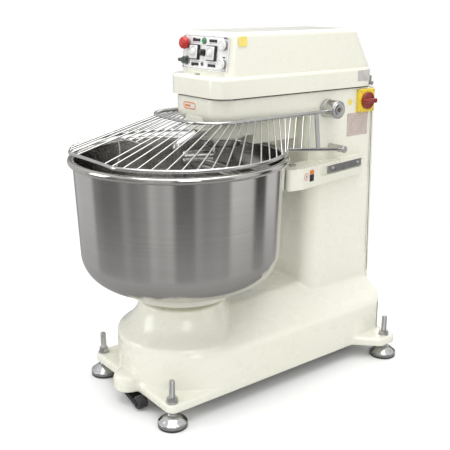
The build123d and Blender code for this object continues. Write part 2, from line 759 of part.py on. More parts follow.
with BuildPart() as guard_hubs:
    for side in (-1, 1):
        with BuildSketch(facing_x(side * HUB_IN, *GUARD_PIVOT)):
            Circle(31)
        extrude(amount=side * 60)
        with BuildSketch(facing_x(side * HUB_IN, *GUARD_PIVOT)):
            Circle(12 + RUN_GAP)
        extrude(amount=side * 52, mode=Mode.SUBTRACT)
    rims = guard_hubs.edges().filter_by(GeomType.CIRCLE)
    fillet([edge for edge in rims if edge.radius > 30 and abs(edge.center().X) > HUB_IN + 50], 4)
save(guard_hubs, "guard_hubs")

with BuildPart() as guard_pins:
    for side in (-1, 1):
        with BuildSketch(facing_x(side * (HEAD_HALF - 20), *GUARD_PIVOT)):
            Circle(12)
        extrude(amount=side * 70)
        with BuildSketch(facing_x(side * (HEAD_HALF + 1), *GUARD_PIVOT)):
            Circle(20)
        extrude(amount=side * 1.4)
    add(column_casting.part, mode=Mode.SUBTRACT)
save(guard_pins, "guard_pins")

with BuildPart() as stop_posts:
    for side in (-1, 1):
        with BuildSketch(facing_x(side * (HEAD_HALF - 4), *STOP_POST)):
            Circle(12.5)
        extrude(amount=side * 80)
    add(column_casting.part, mode=Mode.SUBTRACT)
    ends = stop_posts.edges().filter_by(GeomType.CIRCLE)
    chamfer([edge for edge in ends if abs(edge.center().X) > HEAD_HALF + 70], 2)
save(stop_posts, "stop_posts")

# ======================================================================= bowl guides


def mirrored(points, side):
    """Outline points on the right (side 1) or the left (side -1)."""
    return [(side * x, y) for x, y in points]


wing_outline = [
    (118, BOWL_Y + 710), (164, BOWL_Y + 700), (190, BOWL_Y + 500), (216, BOWL_Y + 352),
    (206, BOWL_Y + 291), (166, BOWL_Y + 300), (128, BOWL_Y + 392), (118, BOWL_Y + 460),
]


def wing_face(side):
    """Plane of a guide arm's outer face, local x running forwards along it."""
    return Plane(
        origin=(side * 177, BOWL_Y + 600, 735), x_dir=(side * 26, -200, 0), z_dir=(side * 200, 26, 0)
    )


with BuildPart() as bowl_guide_arms:
    for side in (-1, 1):
        with BuildSketch(level(WING_LOW)) as outline:
            Polygon(*mirrored(wing_outline, side), align=None)
            tip = outline.vertices().sort_by(Axis.Y)[:2]
            fillet(tip, 14)
        extrude(amount=WING_TOP - WING_LOW)
        # pocket of the roller
        with BuildSketch(level(WING_LOW + 20)):
            with Locations((side * ROLLER_PLACE[0], ROLLER_PLACE[1])):
                Circle(ROLLER_R + 3)
        extrude(amount=WING_TOP - WING_LOW - 40, mode=Mode.SUBTRACT)
        with BuildSketch(level(WING_LOW + 8)):
            with Locations((side * ROLLER_PLACE[0], ROLLER_PLACE[1])):
                Circle(7)
        extrude(amount=WING_TOP - WING_LOW, mode=Mode.SUBTRACT)
    with BuildSketch(level(WING_LOW)):
        with Locations((0, BOWL_Y)):
            Circle(BOWL_WALL_TOP_R + 6)
    extrude(amount=WING_TOP - WING_LOW, mode=Mode.SUBTRACT)
    # slot along the outer face for the adjusting bar
    for side in (-1, 1):
        with BuildSketch(wing_face(side).offset(-8)):
            with Locations((24, 0)):
                SlotOverall(258, 32)
        extrude(amount=24, mode=Mode.SUBTRACT)
    add(column_casting.part, mode=Mode.SUBTRACT)
save(bowl_guide_arms, "bowl_guide_arms")

with BuildPart() as adjusting_bars:
    for side in (-1, 1):
        with BuildSketch(wing_face(side).offset(-8)):
            with Locations((4, 0)):
                RectangleRounded(198, 24, 2)
        extrude(amount=5)
save(adjusting_bars, "adjusting_bars")

for name, side in (("right", 1), ("left", -1)):
    with BuildPart() as guide_roller:
        with BuildSketch(level(WING_LOW + 21)):
            with Locations((side * ROLLER_PLACE[0], ROLLER_PLACE[1])):
                Circle(ROLLER_R)
                Circle(7 + RUN_GAP, mode=Mode.SUBTRACT)
        extrude(amount=WING_TOP - WING_LOW - 42)
    save(guide_roller, f"guide_roller_{name}")

with BuildPart() as guide_pins:
    for side in (-1, 1):
        with BuildSketch(wing_face(side).offset(-3)):
            with Locations((-78, 0), (70, 0)):
                RegularPolygon(8, 6)
        extrude(amount=6)
    for side in (-1, 1):
        with BuildSketch(level(WING_LOW + 8)):
            with Locations((side * ROLLER_PLACE[0], ROLLER_PLACE[1])):
                Circle(7)
        extrude(amount=WING_TOP - WING_LOW - 8)
        with BuildSketch(level(WING_TOP)):
            with Locations((side * ROLLER_PLACE[0], ROLLER_PLACE[1])):
                Circle(12)
        extrude(amount=6)
save(guide_pins, "guide_pins")

# ======================================================================= bowl

def bowl_profile(inset):
    """Half section of the bowl, its outer face moved inwards by the inset."""
    low_r = BOWL_WALL_LOW_R - inset
    top_r = BOWL_WALL_TOP_R - inset
    bottom = BOWL_BOTTOM_Z + inset
    with BuildSketch(bowl_plane) as section:
        Polygon((0, bottom), (low_r, bottom), (top_r, RIM_Z), (0, RIM_Z), align=None)
        corner = section.vertices().group_by(Axis.Y)[0].sort_by(Axis.X)[-1]
        fillet(corner, BOWL_CORNER_R - inset)
    return section.sketch


with BuildPart() as bowl_shell:
    revolve(bowl_profile(0), axis=bowl_axis)
    with Locations((0, BOWL_Y, RIM_Z)):
        Torus(RIM_R, RIM_TUBE_R)
    revolve(bowl_profile(BOWL_SHEET), axis=bowl_axis, mode=Mode.SUBTRACT)
    with BuildSketch(level(RIM_Z - 1)):
        with Locations((0, BOWL_Y)):
            Circle(BOWL_WALL_TOP_R - BOWL_SHEET)
    extrude(amount=30, mode=Mode.SUBTRACT)
save(bowl_shell, "bowl_shell")

with BuildPart() as bowl_flange:
    with Locations((0, BOWL_Y, (FLANGE_Z + BOWL_BOTTOM_Z) / 2)):
        Cone(FLANGE_R, FLANGE_R - 14, BOWL_BOTTOM_Z - FLANGE_Z)
    with Locations((0, BOWL_Y, FLANGE_Z)):
        Cylinder(FLANGE_R - 18, 24, mode=Mode.SUBTRACT)
    with Locations((0, BOWL_Y, FLANGE_Z + 14)):
        Cylinder(60, 28, align=(Align.CENTER, Align.CENTER, Align.MAX))
    with Locations((0, BOWL_Y, FLANGE_Z)):
        Cylinder(BOWL_SHAFT_R, 120, mode=Mode.SUBTRACT)
save(bowl_flange, "bowl_flange")


def grooved_pulley(x, y, z, radius, height, bore):
    """Pulley with a flat groove, added to the part being built."""
    with Locations((x, y, z)):
        Cylinder(radius, height, align=(Align.CENTER, Align.CENTER, Align.MIN))
    with BuildSketch(level(z + 4)) as groove:
        with Locations((x, y)):
            Circle(radius + 5)
            Circle(radius - BELT_DEPTH - FREE_GAP, mode=Mode.SUBTRACT)
    extrude(groove.sketch, amount=height - 8, mode=Mode.SUBTRACT)
    with Locations((x, y, z)):
        Cylinder(bore, height, align=(Align.CENTER, Align.CENTER, Align.MIN), mode=Mode.SUBTRACT)


def belt_loop(y_large, r_large, y_small, r_small, z, height):
    """Flat belt round two pulleys on the machine's centre plane, added to the part being built."""
    with BuildSketch(level(z)) as loop:
        for grow, mode in ((0.0, Mode.ADD), (-BELT_DEPTH + 1, Mode.SUBTRACT)):
            with BuildSketch(level(z), mode=Mode.PRIVATE) as outline:
                with Locations((0, y_large)):
                    Circle(r_large + grow)
                with Locations((0, y_small)):
                    Circle(r_small + grow)
                make_hull()
            add(outline.sketch, mode=mode)
    extrude(loop.sketch, amount=height)


with BuildPart() as bowl_shaft:
    with Locations((0, BOWL_Y, BOWL_BELT_Z - 12)):
        length = BOWL_BOTTOM_Z - BOWL_BELT_Z + 12
        Cylinder(BOWL_SHAFT_R, length, align=(Align.CENTER, Align.CENTER, Align.MIN))
save(bowl_shaft, "bowl_shaft")

with BuildPart() as bowl_bearing_housing:
    with Locations((0, BOWL_Y, BOSS_TOP)):
        Cylinder(78, 9, align=(Align.CENTER, Align.CENTER, Align.MIN))
        Cylinder(52, 100, align=(Align.CENTER, Align.CENTER, Align.MAX))
        Cylinder(45, 260, mode=Mode.SUBTRACT)
save(bowl_bearing_housing, "bowl_bearing_housing")

with BuildPart() as bowl_pulley:
    grooved_pulley(0, BOWL_Y, BOWL_BELT_Z, BOWL_PULLEY_R, 40, BOWL_SHAFT_R)
save(bowl_pulley, "bowl_pulley")

with BuildPart() as bowl_motor_rotor:
    grooved_pulley(0, MOTOR_Y, BOWL_BELT_Z, SMALL_PULLEY_R, 40, 14)
    with Locations((0, MOTOR_Y, BOWL_BELT_Z)):
        Cylinder(14, 80, align=(Align.CENTER, Align.CENTER, Align.MIN))
save(bowl_motor_rotor, "bowl_motor_rotor")


def motor_body(y, z, radius, height):
    """Finned motor standing on z, added to the part being built."""
    with Locations((0, y, z)):
        Cylinder(radius - 8, height, align=(Align.CENTER, Align.CENTER, Align.MIN))
    with BuildSketch(Plane(origin=(0, y, z + 25))) as fins:
        with PolarLocations(radius - 8, 18):
            Rectangle(16, 4)
    extrude(fins.sketch, amount=height - 60)


# ======================================================================= spiral and its drive

with BuildPart() as spindle_housing:
    with Locations((0, SPIRAL_Y, HOUSING_LOW)):
        Cylinder(74, HEAD_BOTTOM - HOUSING_LOW, align=(Align.CENTER, Align.CENTER, Align.MIN))
        Cylinder(50, 123, align=(Align.CENTER, Align.CENTER, Align.MIN))
    fillet(spindle_housing.edges().filter_by(GeomType.CIRCLE).sort_by(Axis.Z)[0], 6)
    # deep web that carries the housing back to the column
    with BuildSketch(level(HOUSING_LOW + 8)):
        with Locations((0, (SPIRAL_Y + COLUMN_FRONT) / 2)):
            Rectangle(140, COLUMN_FRONT - SPIRAL_Y)
    extrude(amount=HEAD_BOTTOM - HOUSING_LOW - 8)
    # the web hangs lower behind the housing
    with BuildSketch(level(WEB_LOW)):
        with Locations((0, (SPIRAL_Y + 80 + COLUMN_FRONT) / 2)):
            Rectangle(140, COLUMN_FRONT - SPIRAL_Y - 80)
    extrude(amount=HOUSING_LOW + 8 - WEB_LOW)
    with Locations((0, SPIRAL_Y, HOUSING_LOW)):
        Cylinder(40, 400, mode=Mode.SUBTRACT)
    add(column_casting.part, mode=Mode.SUBTRACT)
save(spindle_housing, "spindle_housing")

with BuildPart() as shaft_bearings:
    for z in (HOUSING_LOW + 6, HOUSING_LOW + 98):
        with BuildSketch(level(z)):
            with Locations((0, SPIRAL_Y)):
                Circle(40)
                Circle(SPIRAL_SHAFT_R + RUN_GAP, mode=Mode.SUBTRACT)
        extrude(amount=20)
    for z in (BOSS_TOP - 94, BOSS_TOP - 24):
        with BuildSketch(level(z)):
            with Locations((0, BOWL_Y)):
                Circle(45)
                Circle(BOWL_SHAFT_R + RUN_GAP, mode=Mode.SUBTRACT)
        extrude(amount=20)
save(shaft_bearings, "shaft_bearings")

with BuildPart() as spiral_shaft:
    with Locations((0, SPIRAL_Y, ARM_Z + 20)):
        Cylinder(SPIRAL_SHAFT_R, DRIVE_Z + 42 - ARM_Z - 20, align=(Align.CENTER, Align.CENTER, Align.MIN))
save(spiral_shaft, "spiral_shaft")

with BuildPart() as spiral_hook:
    height = ARM_Z - HOOK_LOW_Z
    cone = math.degrees(math.atan2(HOOK_R - HOOK_LOW_R, height))
    with BuildLine():
        coil = Helix(
            pitch=height / HOOK_TURNS,
            height=height,
            radius=HOOK_LOW_R,
            center=(0, 0, HOOK_LOW_Z),
            cone_angle=cone,
        )
    with BuildSketch(Plane(origin=coil @ 0, z_dir=coil % 0)):
        Circle(HOOK_BAR_R)
    sweep(path=coil, is_frenet=True)
    low_tip, top_end = coil @ 0, coil @ 1
    with Locations(low_tip, top_end):
        Sphere(HOOK_BAR_R)
    arm = Vector(top_end.X, top_end.Y, 0)
    with BuildSketch(Plane(origin=(0, 0, ARM_Z), z_dir=arm)):
        Circle(HOOK_BAR_R)
    extrude(amount=arm.length)
    with Locations((0, 0, ARM_Z - 18)):
        Cylinder(38, HUB_TOP - ARM_Z + 18, align=(Align.CENTER, Align.CENTER, Align.MIN))
    fillet(spiral_hook.edges().filter_by(GeomType.CIRCLE).sort_by(Axis.Z)[-1], 5)
    with Locations((0, 0, ARM_Z + 20)):
        Cylinder(SPIRAL_SHAFT_R, 60, align=(Align.CENTER, Align.CENTER, Align.MIN), mode=Mode.SUBTRACT)
spiral_hook.part = spiral_hook.part.rotate(Axis.Z, HOOK_START).translate((0, SPIRAL_Y, 0))
save(spiral_hook, "spiral_hook")

with BuildPart() as spiral_pulley:
    grooved_pulley(0, SPIRAL_Y, DRIVE_Z, SPIRAL_PULLEY_R, 40, SPIRAL_SHAFT_R)
save(spiral_pulley, "spiral_pulley")

with BuildPart() as spiral_motor_rotor:
    grooved_pulley(0, MOTOR_Y, DRIVE_Z, SMALL_PULLEY_R, 40, 14)
    with Locations((0, MOTOR_Y, DRIVE_Z + 40)):
        Cylinder(14, 90, align=(Align.CENTER, Align.CENTER, Align.MAX))
save(spiral_motor_rotor, "spiral_motor_rotor")

with BuildPart() as drive_belts:
    belt_loop(SPIRAL_Y, SPIRAL_PULLEY_R, MOTOR_Y, SMALL_PULLEY_R, DRIVE_Z + 5, 30)
    belt_loop(BOWL_Y, BOWL_PULLEY_R, MOTOR_Y, SMALL_PULLEY_R, BOWL_BELT_Z + 5, 30)
save(drive_belts, "drive_belts")

with BuildPart() as drive_motors:
    motor_body(MOTOR_Y, SPIRAL_MOTOR_TOP - 340, 98, 340)
    motor_body(MOTOR_Y, BOWL_BELT_Z + 52, 82, 230)
    # shaft holes
    for bottom in (SPIRAL_MOTOR_TOP - 60, BOWL_BELT_Z + 52):
        with BuildSketch(level(bottom)):
            with Locations((0, MOTOR_Y)):
                Circle(14 + RUN_GAP)
        extrude(amount=60, mode=Mode.SUBTRACT)
    # plate that reaches the column's side walls, and feet on the base casting's roof
    with BuildSketch(level(SPIRAL_MOTOR_TOP - 12)):
        with Locations((0, MOTOR_Y)):
            Rectangle(2 * (HEAD_HALF - COLUMN_WALL), 180)
            Circle(60, mode=Mode.SUBTRACT)
    extrude(amount=12)
    with BuildSketch(level(RIDGE_Z)):
        with Locations((0, MOTOR_Y)):
            Rectangle(230, 120)
            Circle(70, mode=Mode.SUBTRACT)
    extrude(amount=8)
save(drive_motors, "drive_motors")

# ======================================================================= breaker bar
with BuildPart() as breaker_bar:
    with BuildLine(Plane.YZ) as breaker_path:
        FilletPolyline(
            (BREAKER_Y, HOOK_LOW_Z + 4),
            (BREAKER_Y, 852),
            (BREAKER_TOP_Y, 888),
            (BREAKER_TOP_Y, HEAD_BOTTOM),
            radius=14,
        )
    with BuildSketch(Plane(origin=breaker_path.line @ 0, z_dir=breaker_path.line % 0)):
        Circle(17)
    sweep()
    add(column_casting.part, mode=Mode.SUBTRACT)
save(breaker_bar, "breaker_bar")

with BuildPart() as breaker_bracket:
    with BuildSketch(level(HEAD_BOTTOM - 22)):
        with Locations((0, BREAKER_TOP_Y - 1)):
            RectangleRounded(96, 42, 8)
    extrude(amount=40)
    add(column_casting.part, mode=Mode.SUBTRACT)
    add(breaker_bar.part, mode=Mode.SUBTRACT)
save(breaker_bracket, "breaker_bracket")

# ======================================================================= feet and casters

with BuildPart() as foot_pads:
    with Locations(*((x, y, 0) for x, y in FEET)):
        Cylinder(48, PAD_TOP, align=(Align.CENTER, Align.CENTER, Align.MIN))
save(foot_pads, "foot_pads")

with BuildPart() as foot_cups:
    for x, y in FEET:
        with BuildSketch(Plane(origin=(x, y, 0), x_dir=(1, 0, 0), z_dir=(0, -1, 0))) as cup:
            with BuildLine():
                Polyline((0, PAD_TOP), (48, PAD_TOP), (48, 18), (45, 20))
                ThreePointArc((45, 20), (32, 33), (17, 38))
                Polyline((17, 38), (17, 46), (0, 46), (0, PAD_TOP))
            make_face()
        revolve(axis=Axis((x, y, 0), (0, 0, 1)))
        with Locations((x, y, 46)):
            Hole(STUD_R, depth=26)
save(foot_cups, "foot_cups")

with BuildPart() as foot_studs:
    with Locations(*((x, y, 20) for x, y in FEET)):
        Cylinder(STUD_R, 140, align=(Align.CENTER, Align.CENTER, Align.MIN))
    chamfer(foot_studs.edges().filter_by(GeomType.CIRCLE).group_by(Axis.Z)[-1], 1.5)
save(foot_studs, "foot_studs")

with BuildPart() as foot_nuts:
    for x, y in FEET:
        with BuildSketch(level(LUG_TOP)):
            with Locations((x, y)):
                Circle(20)
                Circle(STUD_R, mode=Mode.SUBTRACT)
        extrude(amount=3)
        with BuildSketch(level(LUG_TOP + 3)):
            with Locations((x, y)):
                RegularPolygon(17.3, 6)
                Circle(STUD_R, mode=Mode.SUBTRACT)
        extrude(amount=14)
save(foot_nuts, "foot_nuts")


def across_wheel(back):
    """Plane square to the front wheel's axle, this far behind its middle."""
    x, y, z = CASTER_WHEEL
    return Plane(origin=(x, y + back, z), z_dir=(0, -1, 0))


with BuildPart() as front_caster_fork:
    with Locations((CASTER_AXIS[0], CASTER_AXIS[1], 50)):
        Cylinder(30, 6, align=(Align.CENTER, Align.CENTER, Align.MAX))
        Cylinder(9 - RUN_GAP, 30, align=(Align.CENTER, Align.CENTER, Align.MIN))
    with BuildSketch(Plane(origin=(0, CASTER_AXIS[1] + 22, 0), x_dir=(1, 0, 0), z_dir=(0, -1, 0))):
        Polygon((-16, 46), (30, 46), (84, 32), (84, 20), (66, 20), (-16, 40), align=None)
    extrude(amount=44)
    with BuildSketch(level(10)):
        with Locations((CASTER_WHEEL[0] + 10, CASTER_WHEEL[1])):
            Rectangle(2 * WHEEL_R + 28, 38)
    extrude(amount=60, mode=Mode.SUBTRACT)
    with BuildSketch(across_wheel(22)):
        Circle(4)
    extrude(amount=44)
save(front_caster_fork, "front_caster_fork")

with BuildPart() as front_caster_wheel:
    with BuildSketch(across_wheel(18)):
        Circle(WHEEL_R)
        Circle(4 + RUN_GAP, mode=Mode.SUBTRACT)
    extrude(amount=36)
    fillet([edge for edge in front_caster_wheel.edges().filter_by(GeomType.CIRCLE) if edge.radius > 20], 5)
save(front_caster_wheel, "front_caster_wheel")

with BuildPart() as rear_wheels:
    for side in (-1, 1):
        with BuildSketch(facing_x(side * REAR_WHEEL[0] - 15, REAR_WHEEL[1], REAR_WHEEL[2])):
            Circle(WHEEL_R)
        extrude(amount=30)
    # both wheels turn with one axle, whose ends run in the brackets
    with BuildSketch(facing_x(-REAR_WHEEL[0] - 28, REAR_WHEEL[1], REAR_WHEEL[2])):
        Circle(5)
    extrude(amount=2 * REAR_WHEEL[0] + 56)
save(rear_wheels, "rear_wheels")

with BuildPart() as rear_wheel_brackets:
    for side in (-1, 1):
        for offset in (-21, 21):
            with BuildSketch(facing_x(side * REAR_WHEEL[0] + offset - 2, REAR_WHEEL[1], 0)):
                Polygon((-14, 18), (14, 18), (40, 120), (-40, 120), align=None)
                with Locations((0, REAR_WHEEL[2])):
                    Circle(5 + RUN_GAP, mode=Mode.SUBTRACT)
            extrude(amount=4)
        with BuildSketch(level(116)):
            with Locations((side * (REAR_WHEEL[0] + 38), REAR_WHEEL[1])):
                Rectangle(2 * (BASE_HALF - REAR_WHEEL[0] - 38 - BASE_WALL), 80)
        extrude(amount=4)
save(rear_wheel_brackets, "rear_wheel_brackets")

# ======================================================================= cable gland
with BuildPart() as cable_gland:
    with BuildSketch(Plane(origin=(GLAND[0], BASE_REAR - 14, GLAND[1]), x_dir=(1, 0, 0), z_dir=(0, 1, 0))):
        Circle(12)
    extrude(amount=31)
    with BuildSketch(Plane(origin=(GLAND[0], BASE_REAR, GLAND[1]), x_dir=(1, 0, 0), z_dir=(0, 1, 0))):
        RegularPolygon(17, 6)
    extrude(amount=10)
    with BuildSketch(Plane(origin=(GLAND[0], BASE_REAR + 17, GLAND[1]), x_dir=(1, 0, 0), z_dir=(0, 1, 0))):
        Circle(6.5)
    extrude(amount=-31, mode=Mode.SUBTRACT)
save(cable_gland, "cable_gland")
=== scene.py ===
import json
import math

import bmesh
import bpy
from mathutils import Matrix, Vector


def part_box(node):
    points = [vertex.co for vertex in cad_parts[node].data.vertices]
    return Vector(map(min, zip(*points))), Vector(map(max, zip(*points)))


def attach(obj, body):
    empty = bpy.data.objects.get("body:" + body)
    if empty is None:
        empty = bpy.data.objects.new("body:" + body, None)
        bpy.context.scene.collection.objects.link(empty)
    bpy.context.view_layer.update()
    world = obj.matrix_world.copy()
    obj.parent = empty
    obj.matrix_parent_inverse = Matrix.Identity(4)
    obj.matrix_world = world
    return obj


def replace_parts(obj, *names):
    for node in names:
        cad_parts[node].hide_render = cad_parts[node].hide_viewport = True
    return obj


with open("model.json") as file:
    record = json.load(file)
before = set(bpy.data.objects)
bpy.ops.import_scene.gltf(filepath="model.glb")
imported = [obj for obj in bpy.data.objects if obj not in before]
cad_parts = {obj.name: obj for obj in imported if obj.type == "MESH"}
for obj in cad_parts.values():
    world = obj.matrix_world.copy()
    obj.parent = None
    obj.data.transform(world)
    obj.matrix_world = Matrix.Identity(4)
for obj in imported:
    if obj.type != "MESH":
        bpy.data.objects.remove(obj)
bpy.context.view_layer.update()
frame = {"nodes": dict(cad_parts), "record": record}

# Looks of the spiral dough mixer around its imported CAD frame. Lengths are in metres.
# Places come from the CAD nodes' boxes; sizes of added details are named where they are used.

MM = 0.001
ROUND_STEPS = 64  # sides of a turned piece
SHARP_EDGE = math.radians(38)  # faces that meet at more than this keep a crisp edge
PANEL_LEAN = math.radians(6.2)  # the control panel's face leans back by this

scene = bpy.context.scene


def mm(*points):
    """Points of a turning profile given in millimetres."""
    return [(radius * MM, height * MM) for radius, height in points]


# ======================================================================= places
def middle(node):
    """Middle of a CAD node's box at rest."""
    low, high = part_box(node)
    return (low + high) / 2


def along(direction, origin, turn=(0, 0, 1)):
    """Matrix that stands local +Z along a direction at a point, local +Y near turn."""
    z = Vector(direction).normalized()
    x = Vector(turn).cross(z)
    if x.length < 1e-6:
        x = Vector((1, 0, 0))
    x.normalize()
    y = z.cross(x)
    matrix = Matrix((x, y, z)).transposed().to_4x4()
    matrix.translation = Vector(origin)
    return matrix


bowl_middle = middle("bowl_shell")
BOWL_AXIS = Vector((0, bowl_middle.y, 0))
PANEL_OUT = Vector((0, -math.cos(PANEL_LEAN), math.sin(PANEL_LEAN)))
PANEL_UP = Vector((0, math.sin(PANEL_LEAN), math.cos(PANEL_LEAN)))
PANEL_FACE = middle("control_plate") + PANEL_OUT * 1.5 * MM


def panel_spot(u, v, out=0.0):
    """Point on the panel's face, u right and v up, both in metres."""
    return PANEL_FACE + Vector((u, 0, 0)) + PANEL_UP * v + PANEL_OUT * out


def on_panel(u, v, out=0.0):
    """Matrix at a point of the panel's face, local +Z out of it and +Y up it."""
    return along(PANEL_OUT, panel_spot(u, v, out), PANEL_UP)


def panel_place(node):
    """u and v of a CAD node on the panel."""
    offset = middle(node) - PANEL_FACE
    return offset.x, offset.dot(PANEL_UP)


# ======================================================================= materials
class Finish:
    """One procedural material and short calls for its nodes."""

    def __init__(self, name, colour, roughness, metallic=0.0, **sockets):
        self.material = bpy.data.materials.new(name)
        self.material.use_nodes = True
        self.tree = self.material.node_tree
        self.surface = self.tree.nodes["Principled BSDF"]
        self.colour = colour
        self.set("Base Color", (*colour, 1))
        self.set("Roughness", roughness)
        self.set("Metallic", metallic)
        for socket, value in sockets.items():
            self.set(socket.replace("_", " "), value)

    def set(self, socket, value):
        self.surface.inputs[socket].default_value = value

    def node(self, kind, **values):
        made = self.tree.nodes.new(kind)
        for name, value in values.items():
            made.inputs[name.replace("_", " ")].default_value = value
        return made

    def link(self, source, target):
        self.tree.links.new(source, target)

    def place(self, stretch=(1, 1, 1), centre=(0, 0, 0)):
        """Object coordinates about a centre, stretched along each axis."""
        coordinates = self.node("ShaderNodeTexCoord")
        mapping = self.node("ShaderNodeMapping")
        mapping.inputs["Scale"].default_value = stretch
        mapping.inputs["Location"].default_value = [-c * s for c, s in zip(centre, stretch)]
        self.link(coordinates.outputs["Object"], mapping.inputs["Vector"])
        return mapping.outputs["Vector"]

    def noise(self, scale, detail=3.0, place=None, rough=0.5):
        made = self.node("ShaderNodeTexNoise", Scale=scale, Detail=detail, Roughness=rough)
        self.link(place or self.place(), made.inputs["Vector"])
        return made.outputs["Fac"]

    def spread(self, value, low, high, start=0.3, end=0.7):
        """A value from start to end, mapped to low to high."""
        made = self.node("ShaderNodeMapRange")
        limits = {"From Min": start, "From Max": end, "To Min": low, "To Max": high}
        for name, limit in limits.items():
            made.inputs[name].default_value = limit
        self.link(value, made.inputs["Value"])
        return made.outputs["Result"]

    def sum(self, first, second, operation="ADD"):
        made = self.node("ShaderNodeMath")
        made.operation = operation
        self.link(first, made.inputs[0])
        if isinstance(second, (int, float)):
            made.inputs[1].default_value = second
        else:
            self.link(second, made.inputs[1])
        return made.outputs[0]

    def tint(self, value, low, high):
        """Colour between two tints of the base colour, driven by a value from 0 to 1."""
        made = self.node("ShaderNodeMix")
        made.data_type = "RGBA"
        made.inputs["A"].default_value = (*low, 1)
        made.inputs["B"].default_value = (*high, 1)
        self.link(value, made.inputs["Factor"])
        self.link(made.outputs["Result"], self.surface.inputs["Base Color"])

    def bump(self, height, depth, strength=1.0):
        made = self.node("ShaderNodeBump", Strength=strength, Distance=depth)
        self.link(height, made.inputs["Height"])
        self.link(made.outputs["Normal"], self.surface.inputs["Normal"])

    def roughen(self, value):
        self.link(value, self.surface.inputs["Roughness"])


def shaded(colour, factor):
    return tuple(c * factor for c in colour)


def enamel(name, colour):
    """Glossy sprayed enamel: orange peel and a faint colour drift."""
    finish = Finish(name, colour, 0.3, IOR=1.5, Coat_Weight=0.6, Coat_Roughness=0.05)
    drift = finish.noise(2.2, 4.0)
    deeper = (colour[0] * 0.985, colour[1] * 0.985, colour[2] * 0.965)
    finish.tint(finish.spread(drift, 0.0, 1.0), deeper, colour)
    finish.roughen(finish.spread(finish.noise(14.0, 3.0), 0.25, 0.30))
    finish.bump(finish.noise(260.0, 1.0), 0.00003, 0.25)
    return finish.material


def plastic(name, colour, roughness=0.35, grain=900.0, depth=0.00008, coat=0.0):
    """Moulded plastic: fine grain, faint handling marks."""
    finish = Finish(name, colour, roughness, Coat_Weight=coat)
    marks = finish.noise(60.0, 5.0)
    finish.tint(finish.spread(marks, 0.0, 1.0), shaded(colour, 0.86), colour)
    finish.roughen(finish.spread(finish.noise(140.0, 4.0), roughness - 0.07, roughness + 0.1))
    finish.bump(finish.noise(grain, 2.0), depth, 0.4)
    return finish.material


def rubber(name, colour):
    """Matt rubber with a dusty, finely pitted skin."""
    finish = Finish(name, colour, 0.75, Sheen_Weight=0.15)
    dust = finish.noise(45.0, 6.0)
    finish.tint(finish.spread(dust, 0.0, 1.0, 0.35, 0.8), colour, shaded(colour, 2.2))
    finish.roughen(finish.spread(finish.noise(200.0, 3.0), 0.62, 0.85))
    finish.bump(finish.noise(1100.0, 3.0), 0.0001, 0.6)
    return finish.material


def turned_steel(name, colour, centre, roughness=0.24, depth=0.00003, anisotropic=0.75):
    """Stainless steel spun or brushed in circles about an upright axis."""
    finish = Finish(name, colour, roughness, 1.0, Anisotropic=anisotropic, Anisotropic_Rotation=0.25)
    position = finish.place((1, 1, 1), centre)
    parts = finish.node("ShaderNodeSeparateXYZ")
    finish.link(position, parts.inputs[0])
    squares = [finish.sum(parts.outputs[k], parts.outputs[k], "MULTIPLY") for k in (0, 1)]
    reach = finish.sum(finish.sum(squares[0], squares[1]), 0.5, "POWER")
    across = finish.sum(finish.sum(parts.outputs[2], reach), 260.0, "MULTIPLY")
    streaks = finish.node("ShaderNodeCombineXYZ")
    for k in (0, 1):
        finish.link(finish.sum(parts.outputs[k], 2.2, "MULTIPLY"), streaks.inputs[k])
    finish.link(across, streaks.inputs[2])
    fine = finish.noise(3.0, 4.0, streaks.outputs[0])
    broad = finish.noise(0.35, 2.0, streaks.outputs[0])
    finish.roughen(finish.spread(fine, roughness - 0.03, roughness + 0.05))
    finish.tint(finish.spread(broad, 0.0, 1.0), shaded(colour, 0.95), colour)
    tangent = finish.node("ShaderNodeTangent")
    tangent.direction_type = "RADIAL"
    tangent.axis = "Z"
    finish.link(tangent.outputs[0], finish.surface.inputs["Tangent"])
    finish.bump(fine, depth, 0.5)
    return finish.material


def polished_steel(name, colour, roughness=0.14, grain=(1, 1, 1), depth=0.00002):
    """Polished or plated steel with fine scratches and patchy gloss."""
    finish = Finish(name, colour, roughness, 1.0)
    scratches = finish.noise(260.0, 5.0, finish.place(grain))
    patches = finish.noise(18.0, 4.0)
    wear = finish.sum(scratches, patches)
    finish.roughen(finish.spread(wear, roughness - 0.05, roughness + 0.14, 0.7, 1.3))
    finish.tint(finish.spread(patches, 0.0, 1.0), shaded(colour, 0.88), colour)
    finish.bump(scratches, depth, 0.35)
    return finish.material


def cast_metal(name, colour, roughness=0.5, metallic=0.85):
    """Cast or machined iron, slightly oily."""
    finish = Finish(name, colour, roughness, metallic)
    stains = finish.noise(30.0, 6.0)
    finish.tint(finish.spread(stains, 0.0, 1.0), shaded(colour, 0.6), colour)
    finish.roughen(finish.spread(finish.noise(90.0, 4.0), roughness - 0.12, roughness + 0.15))
    finish.bump(finish.noise(700.0, 4.0), 0.00015, 0.5)
    return finish.material


